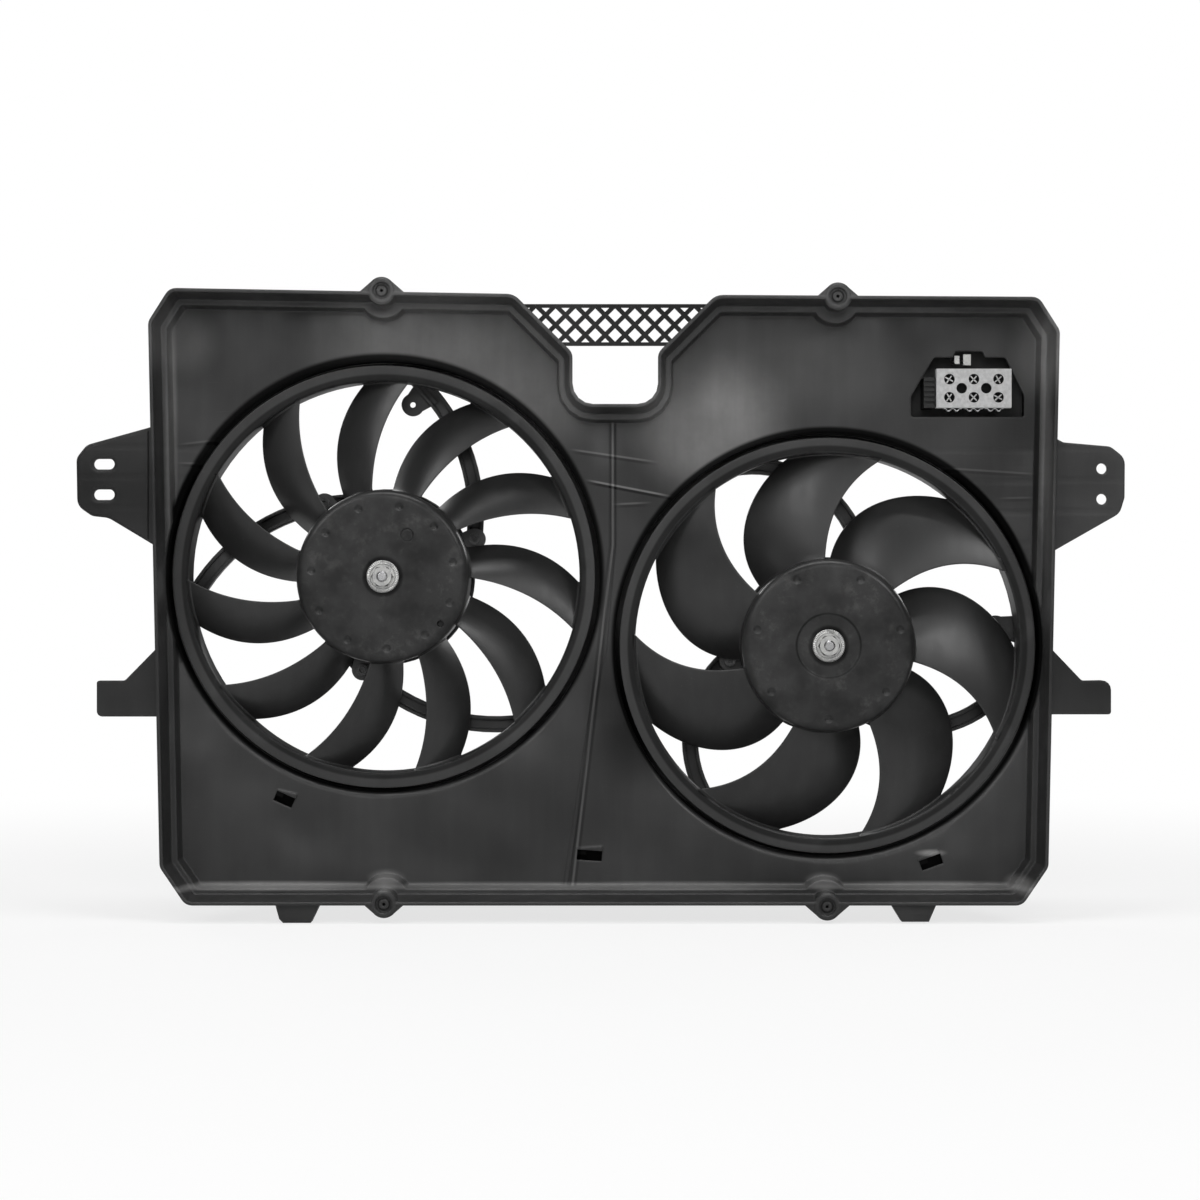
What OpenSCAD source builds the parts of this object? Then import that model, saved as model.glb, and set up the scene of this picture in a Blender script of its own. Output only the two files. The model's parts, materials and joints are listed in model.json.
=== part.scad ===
// Twin radiator fan assembly: a moulded shroud with two motor-driven fans and a speed resistor.
// X runs across the radiator, Z runs up and Y runs from the radiator towards the engine.
// The origin is the middle of the lower seal lip, in the plane that meets the radiator.
// Depths are distances behind that plane. Angles are anticlockwise as the radiator sees the part.

/* [Shroud outline] */
// Width between the upper side corners
upper_w = 663.6; // [656:0.2:672]
// Width between the lower side corners
lower_w = 647; // [640:0.5:656]
// Height of the outer corner of the left lobe
left_lobe_h = 448.4; // [440:0.2:456]
// Height of the left lobe beside the notch
left_notch_h = 444; // [438:0.2:450]
// Height of the outer corner of the right lobe
right_lobe_h = 441.9; // [436:0.1:450]
// Height of the right lobe beside the notch
right_notch_h = 443.3; // [438:0.1:450]
// Width of the slanted upper corners
upper_corner_w = 15.5; // [12:0.5:22]
// Height of the slanted upper corners
upper_corner_h = 24.5; // [18:0.5:32]
// Width of the slanted lower corners
lower_corner_w = 19; // [14:0.5:26]
// Height of the slanted lower corners
lower_corner_h = 28; // [20:0.5:36]
// Rounding of the outer corners
corner_r = 9; // [5:0.5:12]

/* [Shroud depths and walls] */
// Thickness of the moulded walls
wall = 2.4; // [2:0.1:3]
// Depth of the ledge inside the rim
ledge_depth = 22; // [18:0.5:26]
// Width of the ledge
ledge_w = 4.2; // [3:0.1:6]
// Depth of the face that carries the fan openings
face_depth = 38; // [35:0.5:40]
// Inward lean of the rim wall over its depth
rim_draft = 3.6; // [2:0.1:4.5]
// Inward lean of the wall between ledge and face
step_draft = 1.5; // [0.5:0.1:2.5]
// Depth of the rear end of the fan barrels
barrel_depth = 82; // [80:0.5:88]
// Inward width of the lip at the rear of each barrel
barrel_lip = 13.5; // [11:0.5:15]
// Radius of the rounded mouth of each barrel
mouth_r = 4.5; // [3:0.25:5]

/* [Top notch] */
// Centre of the notch from the middle of the shroud
notch_x = 8.2; // [4:0.1:12]
// Clear width of the notch
notch_w = 62.2; // [54:0.2:70]
// Height of the notch floor
notch_floor_h = 363.9; // [356:0.1:372]
// Height at which the notch sides start to slope outwards
notch_shoulder_h = 401.2; // [396:0.1:406]
// Rounding of the notch floor corners
notch_r = 15; // [10:0.5:20]

/* [Notch grille] */
// Depth of the front of the grille
grille_depth = 26; // [24.5:0.5:30]
// Thickness of the grille
grille_t = 3; // [2:0.25:4]
// Height of the underside of the grille
grille_low_h = 408.4; // [405:0.1:412]
// Height of the grille
grille_tall = 30.7; // [28:0.1:31.5]
// Width of the long bars
grille_bar = 2.6; // [2:0.1:4]
// Width of the slanting strips
grille_strip = 3.2; // [2:0.1:4]
// Distance between the strips along the bars
grille_pitch = 14.6; // [12:0.1:18]

/* [Fan positions] */
// Left fan axis from the middle of the shroud
left_x = -163.1; // [-166:0.1:-163]
// Height of the left fan axis
left_h = 238.5; // [230:0.1:246]
// Right fan axis from the middle of the shroud
right_x = 165.7; // [165:0.1:168]
// Height of the right fan axis
right_h = 187.5; // [184:0.1:194]

/* [Fans] */
// Outer radius of the left fan band
left_band_r = 156.5; // [153:0.1:157]
// Outer radius of the right fan band
right_band_r = 154; // [151:0.1:155]
// Blades on the left fan
left_blades = 11; // [9:1:13]
// Blades on the right fan
right_blades = 7; // [6:1:8]
// Running gap between band and barrel
band_gap = 3.5; // [3:0.1:4.5]
// Depth of the front of the band
band_front = 41; // [40:0.5:43]
// Depth of the rear of the band
band_rear = 68; // [66:0.5:69]
// Width of the flange round the front of the band
band_flange = 9.2; // [7:0.1:11]
// Thickness of the band
band_t = 2.3; // [2:0.1:3]
// Thickness of the blades at their middle
blade_t = 3; // [2.4:0.1:3.6]
// Share of the blade's curve that is camber
blade_camber = 0.5; // [0.2:0.05:0.7]
// Radius of the fan hubs
hub_r = 64; // [62:0.5:66]
// Depth of the front of the hubs
hub_front = 27; // [25:0.5:30]
// Depth of the rear of the hubs
hub_rear = 63; // [60:0.5:64.5]
// Thickness of the hub shell
hub_wall = 2.6; // [2:0.1:3.4]
// Rounding of the hub's front edge
hub_round = 6; // [4:0.5:8]
// Radius of the boss on the shaft
hub_boss_r = 12.5; // [11:0.5:16]
// Depth of the rear of that boss
hub_boss_rear = 43; // [40:0.5:44]
// Radius of the dished middle of the left hub
left_dish_r = 40; // [30:0.5:46]
// Radius of the dished middle of the right hub
right_dish_r = 24.5; // [18:0.5:32]
// Depth of the dished middles
dish_depth = 1.6; // [1:0.1:2]
// Radius on which the dimples of the left hub lie
left_dimple_ring = 53; // [49:0.5:55]
// Radius on which the dimples of the right hub lie
right_dimple_ring = 54; // [49:0.5:55]
// Radius of a dimple at the surface
dimple_r = 3; // [2:0.1:3.4]

/* [Motor carriers] */
// Radius of the arc that each left arm follows
left_arc_r = 140; // [136:0.5:144]
// Radius of the arc that each right arm follows
right_arc_r = 83; // [81:0.5:86]
// Distance from the left fan axis to the centres of its arcs
left_arc_offset = 86.8; // [84:0.2:90]
// Distance from the right fan axis to the centres of its arcs
right_arc_offset = 73.8; // [72:0.2:76]
// Width of the arms
arm_w = 12; // [9:0.5:15]
// Depth of the front of the arms
arm_front = 72; // [71:0.5:74]
// Thickness of the ribs and webs of the arms
arm_t = 2.4; // [2:0.1:3]
// Turn of the right carrier
right_arm_turn = 46; // [30:1:60]
// Inner radius of the carrier ring
ring_in_r = 56; // [55:0.5:57]
// Outer radius of the carrier ring
ring_out_r = 66; // [64:0.5:68]
// Radius on which the motor screws lie
screw_ring_r = 72; // [71:0.5:74]
// Angle of the first motor screw of the left motor
screw_angle = 23.4; // [18:0.2:28]
// Radius of the screw bosses
screw_boss_r = 8; // [7:0.25:9]
// Radius of the harness lug
lug_r = 8.5; // [7:0.25:10]
// Radius of the hole in the harness lug
lug_hole_r = 2.2; // [1.6:0.1:3]

/* [Motors] */
// Radius of the motor can
can_r = 54; // [50:0.5:54.5]
// Thickness of the can
can_wall = 1.6; // [1.2:0.1:2]
// Depth of the front of the motors
can_front = 46; // [45.5:0.5:48]
// Depth of the rear of the motors
can_rear = 100; // [98:0.5:104]
// Thickness of the mounting ears
ear_t = 2.5; // [2:0.1:3]
// Radius of the shafts
shaft_r = 4; // [3:0.25:5]
// Radius of the armature core
core_r = 43; // [39:0.5:45]
// Length of the armature core
core_l = 24; // [20:0.5:26]
// Slots in the armature core
core_slots = 12; // [8:2:16]
// Radius of the commutators
commutator_r = 13; // [11:0.5:15]
// Outer radius of the bearings
bearing_r = 9; // [8:0.25:10]
// Length of the bearings
bearing_l = 7; // [6:0.5:8]
// Thickness of the magnets
magnet_t = 7; // [5:0.25:7.5]
// Radius of the motor screws
screw_r = 2.9; // [2.4:0.1:3.2]
// Radius of the washers under the fan nuts
washer_r = 12; // [10:0.5:12]
// Width of the fan nuts across their flats
nut_flats = 14; // [12:0.5:17]

/* [Speed resistor] */
// Middle of the resistor window across the shroud
window_x = 269.2; // [262:0.2:270]
// Distance from the upper edge down to the bottom of the window
window_drop = 85.2; // [82:0.1:88]
// Width of the window
window_w = 83.7; // [78:0.1:85]
// Height of the window
window_tall = 44; // [42:0.5:46]
// Middle of the resistor block across the shroud
block_x = 273.1; // [270:0.1:275]
// Height of the middle of the block above the bottom of the window
block_rise = 20.8; // [19.8:0.1:22]
// Width of the block
block_w = 55.4; // [52:0.1:58]
// Height of the block
block_tall = 28.8; // [27:0.1:30]
// Radius of the bores in the block
block_bore_r = 3.9; // [3:0.1:4.3]

/* [Brackets and bosses] */
// Thickness of the four side brackets
bracket_t = 4; // [3:0.25:6]
// Depth of the front of the brackets
bracket_depth = 9; // [6:0.5:12]
// Distance between the two holes of an upper bracket
bracket_pitch = 22.3; // [20:0.1:26]
// Radius of the bracket holes and half the width of the slots
bracket_hole_r = 3.9; // [3:0.1:4.5]
// Length of the slots in the left bracket
bracket_slot_l = 15.5; // [12:0.5:18]
// Radius of the ears on the upper and lower edges
ear_r = 10; // [9.5:0.25:12]
// Radius of the raised ring on each ear
ear_ring_r = 9; // [8:0.1:9.2]
// Radius of the recessed disc in that ring
ear_disc_r = 6.4; // [5:0.1:7]
// Radius of the pilot hole in each ear
pilot_r = 1.1; // [0.8:0.1:1.6]

/* [Hidden] */
$fn = 96;

running_fit = 0.04;
press_fit = 0.02;
seat_gap = 0.2;
cut = 1;
arm_step = 120;
arc_steps = 4;
least_r = 3;

floor_inset = wall + rim_draft + ledge_w + step_draft;
rim_inset = wall + rim_draft;
base_h = -wall / 2;
grille_top_h = grille_low_h + grille_tall;
window_h = right_lobe_h - window_drop;
block_h = window_h + block_rise;
barrel_lip_t = 3;
face_rear = face_depth + wall;
notch_left = notch_x - notch_w / 2;
notch_right = notch_x + notch_w / 2;
screw_head_t = 3.5;
ear_front = arm_front - ear_t;
arm_web = (arm_front + barrel_depth) / 2;
core_front = can_front + 11;
core_rear = core_front + core_l;
turn_l = 5;
commutator_front = core_rear + turn_l + 1;
commutator_l = 8;
plate_t = 2.5;
bearing_seat_rear = can_rear + bearing_l + 1;
nut_t = 6.5;
washer_t = 1.8;
washer_front = hub_front + dish_depth - washer_t;
nut_front = washer_front - nut_t;
shaft_front = nut_front - 1.2;
magnet_l = core_l + 8;

// Side values: one entry for each fan
function side_x(side) = side == "left" ? left_x : right_x;
function side_h(side) = side == "left" ? left_h : right_h;
function side_band_r(side) = side == "left" ? left_band_r : right_band_r;
function side_barrel_r(side) = side_band_r(side) + band_gap;
function side_arc_r(side) = side == "left" ? left_arc_r : right_arc_r;
function side_arc_offset(side) = side == "left" ? left_arc_offset : right_arc_offset;
// Direction in which the centre of an arm's arc lies, and the turns of the arms
function side_arc_angle(side) = side == "left" ? 147.6 : 90;
function side_arms(side) = side == "left" ? [0, 107, 232] :
  [right_arm_turn, right_arm_turn + arm_step, right_arm_turn + 2 * arm_step];
function side_blades(side) = side == "left" ? left_blades : right_blades;
function side_dish_r(side) = side == "left" ? left_dish_r : right_dish_r;
function side_dimple_ring(side) = side == "left" ? left_dimple_ring : right_dimple_ring;
function side_dimple_angle(side) = side == "left" ? 77 : 270;
// Blade edges seen from the front: root angle, straight lean and curved lean from root to tip
function side_lead(side) = side == "left" ? [97.5, -10.3, -4.5] : [92, -6, -12];
function side_trail(side) = side == "left" ? [117.8, -9, -12.5] : [138.5, -12, -25];
// Blade edge depths measured from the front of the hub: lead root, trail root, lead tip, trail tip
function side_edges(side) = side == "left" ? [8, 35, 16.5, 35] : [6, 36, 15.5, 38];
// The arm that carries the harness lug, and the lug's radius and angle beside that arm
function side_lug_arm(side) = side == "left" ? 0 : 2;
function side_lug(side) = side == "left" ? [131, 81.5] : [130, 80];
// Width of the slope round the dished middle of the hub
function side_dish_slope(side) = side == "left" ? 25 : 1.5;

// Frames: inside face_on() the drawing plane is the radiator plane and depth runs along -z
module face_on() rotate([90, 0, 0]) children();
module at_fan(side) translate([side_x(side), side_h(side), 0]) children();
module on_axis(side) face_on() at_fan(side) children();
module slab(front, rear) translate([0, 0, -rear]) linear_extrude(rear - front) children();
module drum(r, front, rear) translate([0, 0, -rear]) cylinder(r = r, h = rear - front);
// Section of a turned piece: radius across, depth down
module section(r0, r1, front, rear) translate([r0, -rear]) square([r1 - r0, rear - front]);
module turned() rotate_extrude() children();

// Outline with rounded corners. Each corner is [x, height, radius], anticlockwise
function unit(v) = v / norm(v);
function left_of(d) = [-d[1], d[0]];
function ahead(c, i) =
  let (a = c[i], b = c[(i + 1) % len(c)])
  unit([b[0] - a[0], b[1] - a[1]]);
function corner_arc(c, i, inset) =
  let (
    n = len(c),
    d0 = ahead(c, (i + n - 1) % n),
    d1 = ahead(c, i),
    n0 = left_of(d0),
    n1 = left_of(d1),
    p = [c[i][0], c[i][1]] + inset * (n0 + n1) / (1 + n0 * n1),
    turn = atan2(d0[0] * d1[1] - d0[1] * d1[0], d0 * d1),
    side = turn > 0 ? 1 : -1,
    r = max(c[i][2] - side * inset, min(c[i][2], least_r)),
    reach = r * tan(abs(turn) / 2),
    hub = p - d0 * reach + n0 * r * side,
    start = atan2(-n0[1] * side, -n0[0] * side)
  )
  [for (k = [0 : arc_steps]) let (a = start + turn * k / arc_steps) hub + r * [cos(a), sin(a)]];
function rounded(c, inset = 0) = [for (i = [0 : len(c) - 1]) each corner_arc(c, i, inset)];

shroud_corners = [
  [-lower_w / 2 + lower_corner_w, base_h, corner_r],
  [lower_w / 2 - lower_corner_w, base_h, corner_r],
  [lower_w / 2, base_h + lower_corner_h, corner_r],
  [upper_w / 2, right_lobe_h - upper_corner_h, corner_r],
  [upper_w / 2 - upper_corner_w, right_lobe_h, corner_r],
  [notch_right + right_notch_h - notch_shoulder_h, right_notch_h, corner_r + 4],
  [notch_right, notch_shoulder_h, corner_r],
  [notch_right, notch_floor_h, notch_r],
  [notch_left, notch_floor_h, notch_r],
  [notch_left, notch_shoulder_h, corner_r],
  [notch_left - left_notch_h + notch_shoulder_h, left_notch_h, corner_r + 4],
  [-upper_w / 2 + upper_corner_w, left_lobe_h, corner_r],
  [-upper_w / 2, left_lobe_h - upper_corner_h, corner_r],
  [-lower_w / 2, base_h + lower_corner_h, corner_r]
];

// End of the outline in convex parts: two lobes, the body's corners and the fans under the notch
function first(i) = i * (arc_steps + 1);
function last(i) = first(i) + arc_steps;
outline_parts = concat(
  [[for (i = [first(2) : first(7)]) i]],
  [[for (i = [last(8) : last(13)]) i]],
  [[for (i = [first(1) : first(2)]) i, first(7)]],
  [[for (i = [first(0) : last(0)]) i, last(8), last(13)]],
  [[last(0), first(1), last(7), first(8)]],
  [for (k = [0 : arc_steps - 1]) [first(1), first(7) + k, first(7) + k + 1]],
  [for (k = [0 : arc_steps - 1]) [last(0), first(8) + k, first(8) + k + 1]]
);
function backwards(c) = [for (i = [len(c) - 1 : -1 : 0]) c[i]];

// Solid between insets of the shroud outline. Each section is [inset, depth]
module shroud_loft(sections) {
  rings = [for (s = sections) [for (p = rounded(shroud_corners, s[0])) [p[0], p[1], -s[1]]]];
  n = len(rings[0]);
  m = len(rings);
  polyhedron(
    points = [for (ring = rings) each ring],
    faces = concat(
      [for (c = outline_parts) backwards(c)],
      [for (k = [0 : m - 2]) for (i = [0 : n - 1])
        [k * n + i, k * n + (i + 1) % n, (k + 1) * n + (i + 1) % n, (k + 1) * n + i]],
      [for (c = outline_parts) [for (i = c) (m - 1) * n + i]]
    )
  );
}
module shroud_outside() shroud_loft([
  [0, 0],
  [rim_draft, ledge_depth + wall],
  [rim_draft + ledge_w, ledge_depth + wall],
  [rim_draft + ledge_w + step_draft, face_rear]
]);
module shroud_cavity() shroud_loft([
  [wall - rim_draft * cut / ledge_depth, -cut],
  [rim_inset, ledge_depth],
  [rim_inset + ledge_w, ledge_depth],
  [floor_inset, face_depth]
]);

// Barrel mouth: the rounding between the face and the bore
module mouth_cut(side) {
  r = side_barrel_r(side);
  intersection() {
    at_fan(side) turned() difference() {
      section(r - cut, r + mouth_r, face_depth - cut, face_depth + mouth_r);
      translate([r + mouth_r, -face_depth - mouth_r]) circle(mouth_r);
    }
    slab(face_depth - 2 * cut, face_depth + mouth_r + cut)
      polygon(rounded(shroud_corners, floor_inset + 0.6));
  }
}
module mouth_backing(side) {
  r = side_barrel_r(side);
  intersection() {
    at_fan(side) drum(r + mouth_r + wall, face_depth, face_depth + mouth_r + wall);
    slab(face_depth - cut, barrel_depth) polygon(rounded(shroud_corners, wall));
  }
}

// Brackets, drawn for one side and placed with the side's own corners
left_upper_bracket = [
  [-320, 342, 0.6], [-330.6, 347.7, 3], [-377.9, 334.5, 10], [-385.4, 325, 8],
  [-384.8, 290, 10], [-374, 282.5, 8], [-362, 281.2, 14], [-320, 256, 0.6]
];
right_upper_bracket = [
  [320, 252, 0.6], [338.1, 262.4, 6], [376.9, 284.5, 10], [380.4, 296, 8],
  [380.6, 325, 10], [370, 333.4, 8], [335.5, 336.4, 6], [320, 345, 0.6]
];
left_lower_bracket = [
  [-318, 195, 0.6], [-350.1, 162.3, 4], [-370.6, 162.3, 2], [-370.6, 136, 4], [-318, 136, 0.6]
];
right_lower_bracket = [
  [318, 137.6, 0.6], [370.5, 137.6, 2], [370.5, 162.7, 7], [349.1, 162.3, 4], [318, 195, 0.6]
];
left_hole = [-365.2, 309.3];
right_hole = [363.7, 306];
left_foot = [[-241, 4], [-236.8, -11.4], [-234, -14.2], [-213.8, -14.2], [-205, 4]];
right_foot = [[206.5, 4], [217.2, -13.4], [236.9, -13.4], [244.5, 4]];
foot_front = 4;
foot_rear = 20;
// Edge ears: [x, height]
edge_ears = [[-162, 446.5], [170.3, 442.4], [-160.3, -0.4], [162.6, -2.2]];
ear_depth = 24;
// Clip windows in the face: [x, height, width, tilt]. A hood open at the bottom backs each one
clip_windows = [[-236.5, 73.9, 14.5, -24], [-10.7, 32.4, 18.5, -4], [242.1, 27.5, 16.5, 20]];
clip_tall = 8;
clip_brow = 1.4;
hood_rear = face_rear + 10;
module clip_hoods() for (w = clip_windows) translate([w[0], w[1], 0]) rotate(w[3])
  slab(face_depth, hood_rear) square([w[2] + 2 * wall, clip_tall + 2 * wall], center = true);
module clip_pockets() for (w = clip_windows) translate([w[0], w[1], 0]) rotate(w[3]) {
  slab(face_depth - cut, hood_rear - wall) square([w[2], clip_tall], center = true);
  slab(face_rear + 0.3, hood_rear - wall) translate([0, -clip_tall / 2 - wall / 2])
    square([w[2], wall + 2 * cut], center = true);
}
// Brow above each window and a sprung tongue at its left
module clip_brows() for (w = clip_windows) translate([w[0], w[1], 0]) rotate(w[3]) {
  slab(face_depth - clip_brow, face_depth + wall / 2) translate([-w[2] / 2, clip_tall / 2])
    polygon([[0, -0.4], [w[2], -0.4], [w[2], 3.4], [w[2] / 2, 2.2], [0, 0.8]]);
  slab(face_depth + 0.6, face_depth + wall - 0.3) translate([-w[2] / 2 - 0.5, 0])
    square([w[2] * 0.4, clip_tall / 2 + 0.5]);
}

module bracket_plates() slab(bracket_depth, bracket_depth + bracket_t)
  for (b = [left_upper_bracket, right_upper_bracket, left_lower_bracket, right_lower_bracket])
    polygon(rounded(b));
// Raised pad on the outer part of the left upper bracket
pad_edge = -333;
pad_inset = 1.6;
pad_t = 1.2;
module bracket_pad() slab(bracket_depth - pad_t, bracket_depth + pad_t) intersection() {
  polygon(rounded(left_upper_bracket, pad_inset));
  translate([pad_edge - 100, 200]) square([100, 200]);
}
// Gusset behind a bracket: from the wall outwards at one height
gusset_t = 3;
gusset_tip_t = 1.5;
module gusset(wall_x, tip_x, h) translate([0, h - gusset_t / 2, 0]) rotate([-90, 0, 0])
  linear_extrude(gusset_t) polygon([
    [wall_x, bracket_depth + bracket_t - 1], [tip_x, bracket_depth + bracket_t - 1],
    [tip_x, bracket_depth + bracket_t + gusset_tip_t], [wall_x, ledge_depth + wall]
  ]);
left_gussets = [285, 309.3, 333];
right_gussets = [282, 306, 330];
lower_gussets = [139, 159];
module bracket_gussets() {
  for (h = left_gussets) gusset(-322, -366, h);
  for (h = right_gussets) gusset(322, 362, h);
  for (h = lower_gussets) {
    gusset(-319, -364, h);
    gusset(319, 364, h);
  }
}
slot_rim = 1.6;
slot_rim_t = 0.6;
module slot_outline(r) {
  flat = bracket_slot_l - 2 * bracket_hole_r;
  square([flat, 2 * r], center = true);
  for (e = [-1, 1]) translate([e * flat / 2, 0]) circle(r);
}
module bracket_holes() {
  for (s = [-1, 1]) {
    translate([left_hole[0], left_hole[1] + s * bracket_pitch / 2, 0])
      {
        slab(0, ear_depth) slot_outline(bracket_hole_r);
        slab(0, bracket_depth - pad_t + slot_rim_t) slot_outline(bracket_hole_r + slot_rim);
      }
    translate([right_hole[0], right_hole[1] + s * bracket_pitch / 2, 0])
      drum(bracket_hole_r, 0, ear_depth);
  }
}

ear_face = 0.8;
ear_recess = 1.5;
ear_groove = 3.2;
ear_centre_r = 4.4;
module at_ears() for (e = edge_ears) translate([e[0], e[1], 0]) children();
// Pads that flare into the rim, with a side pair of slopes up for the top edge and down for the bottom
module edge_ear_pads() for (e = edge_ears) translate([e[0], e[1], 0]) {
  up = e[1] > base_h + lower_corner_h ? 1 : -1;
  drum(ear_r, ear_face, ear_depth);
  slab(ear_face, ledge_depth) polygon([
    [-19, -4 * up], [-16, -0.8 * up], [-7.6, 6.5 * up],
    [7.6, 6.5 * up], [16, -0.8 * up], [19, -4 * up]
  ]);
}
// Stepped boss that the rim forms round each ear on the inside of the tray
module edge_ear_bosses() {
  at_ears() drum(ear_ring_r, 0, 2);
  intersection() {
    at_ears() {
      drum(ear_r, ear_face, ledge_depth);
      translate([0, 0, -face_depth]) cylinder(
        r1 = ear_r + rim_draft + ledge_w + step_draft,
        r2 = ear_r + rim_draft + ledge_w,
        h = face_depth - ledge_depth
      );
    }
    slab(0, face_depth + cut) polygon(rounded(shroud_corners, wall / 2));
  }
}
module edge_ear_cuts() at_ears() {
  turned() polygon([
    [0, cut], [ear_disc_r, cut], [ear_disc_r, -ear_groove], [ear_centre_r, -ear_groove],
    [ear_centre_r - 0.8, -ear_recess], [0, -ear_recess]
  ]);
  drum(pilot_r, -cut, 14);
}

// Low rib that wanders down the face between the fans
seam_path = [[6.5, 362], [7, 262], [0.5, 186], [-6.6, 154.6], [-16.2, 90.2], [-28.8, 8]];
seam_w = 3;
seam_t = 0.9;
function seam_side(i) =
  let (a = seam_path[max(i - 1, 0)], b = seam_path[min(i + 1, len(seam_path) - 1)])
  left_of(unit(b - a)) * seam_w / 2;
module face_seam() slab(face_depth - seam_t, face_depth + wall / 2) polygon(concat(
  [for (i = [0 : len(seam_path) - 1]) seam_path[i] + seam_side(i)],
  [for (i = [len(seam_path) - 1 : -1 : 0]) seam_path[i] - seam_side(i)]
));

// Motor carrier: flat outlines about the fan axis, ribs at full depth on a thinner web
module flat_ring(r0, r1) difference() {
  circle(r1);
  circle(r0);
}
arm_far = 2 * left_arc_r;
arm_rear = barrel_depth - 0.6;
root_start = 8;
root_l = 30;
function arc_centre(side) = side_arc_offset(side) * [cos(side_arc_angle(side)), sin(side_arc_angle(side))];
// Swept arm: one half of a ring about its own centre, between the carrier ring and the barrel wall
module arm_strip(side, r0, r1) intersection() {
  translate(arc_centre(side)) flat_ring(r0, r1);
  flat_ring(ring_out_r - arm_t / 2, side_barrel_r(side) + wall / 2);
  rotate(side_arc_angle(side)) translate([-arm_far, -2 * arm_far]) square(2 * arm_far);
}
// Strip that carries the end of a right arm on into the barrel wall
module arm_root(side, thick) if (side == "right") intersection() {
  base = right_arc_offset + right_arc_r - arm_w / 2 + 0.1;
  rise = sqrt(pow(side_barrel_r(side), 2) - root_l * root_l) - 0.5;
  start = base - root_start * root_start / 2 / right_arc_r;
  polygon([[root_start, start], [root_start, start + thick], [-root_l, rise + thick], [-root_l, rise]]);
  circle(side_barrel_r(side) + wall / 2);
}
module at_arms(side) for (turn = side_arms(side)) rotate(turn) children();
module at_motor_screws(side) at_arms(side) rotate(screw_angle) translate([screw_ring_r, 0, 0]) children();
// D-shaped tab on the hollow side of one arm
lug_foot = 11.5;
module harness_lug(side) {
  spot = side_lug(side)[0] * [cos(side_lug(side)[1]), sin(side_lug(side)[1])];
  out = spot - arc_centre(side);
  reach = side_arc_r(side) - norm(out);
  rotate(side_arms(side)[side_lug_arm(side)]) translate(spot) rotate(atan2(out[1], out[0])) difference() {
    union() {
      circle(lug_r);
      polygon([[0, -lug_r * 0.9], [reach, -lug_foot], [reach, lug_foot], [0, lug_r * 0.9]]);
    }
    circle(lug_hole_r);
  }
}
module carrier_arms(side) {
  low = side_arc_r(side) - arm_w / 2;
  high = side_arc_r(side) + arm_w / 2;
  slab(arm_front, arm_rear) difference() {
    union() {
      flat_ring(ring_in_r, ring_in_r + arm_t);
      flat_ring(ring_out_r - arm_t, ring_out_r);
      at_arms(side) {
        arm_strip(side, low, low + arm_t);
        arm_strip(side, high - arm_t, high);
        arm_root(side, arm_t);
      }
      at_motor_screws(side) circle(screw_boss_r);
    }
    at_motor_screws(side) circle(screw_r + 0.1);
  }
  slab(arm_web - arm_t / 2, arm_web + arm_t / 2) difference() {
    union() {
      flat_ring(ring_in_r + arm_t / 2, ring_out_r - arm_t / 2);
      at_arms(side) {
        arm_strip(side, low + arm_t / 2, high - arm_t / 2);
        arm_root(side, arm_w);
      }
    }
    at_motor_screws(side) circle(screw_boss_r - arm_t);
  }
  slab(arm_web - arm_t, arm_web + arm_t) harness_lug(side);
}

// Stiffening ribs across the back of the face, beside the barrels
rib_t = 2;
rib_tall = 9;
left_ribs = [265.7, 287.9, 310.1, 332.3];
right_ribs = [262, 285, 308, 331];
module rear_ribs() slab(face_depth + wall / 2, face_rear + rib_tall) intersection() {
  polygon(rounded(shroud_corners, floor_inset));
  union() {
    difference() {
      for (h = left_ribs) translate([-upper_w / 2, h]) square([upper_w / 2 + left_x, rib_t]);
      at_fan("left") circle(side_barrel_r("left") + wall / 2);
    }
    difference() {
      for (h = right_ribs) translate([right_x, h]) square([upper_w / 2 - right_x, rib_t]);
      at_fan("right") circle(side_barrel_r("right") + wall / 2);
    }
  }
}

// Resistor window in the face, its housing behind and the screw bosses
window_left = window_x - window_w / 2;
window_right = window_x + window_w / 2;
window_shape = [
  [window_left, window_h, 2], [window_right, window_h, 2], [window_right, window_h + 16, 3],
  [window_right - 14, window_h + window_tall, 3], [window_x + 13, window_h + window_tall, 1],
  [window_x + 11, window_h + window_tall + 4.5, 2], [window_x - 9, window_h + window_tall + 4.5, 2],
  [window_x - 11, window_h + window_tall, 1], [window_left + 17, window_h + window_tall, 3],
  [window_left, window_h + 15, 3]
];
housing_margin = 3;
housing_floor = face_rear + 18;
housing_low = window_h - housing_margin;
housing_high = window_h + window_tall + 4.5 + housing_margin;
housing_boss_r = 4.5;
housing_boss_rear = face_rear + 9;
housing_screws = [[window_x, housing_low - 6.5], [window_x, housing_high + 6.5]];

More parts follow.
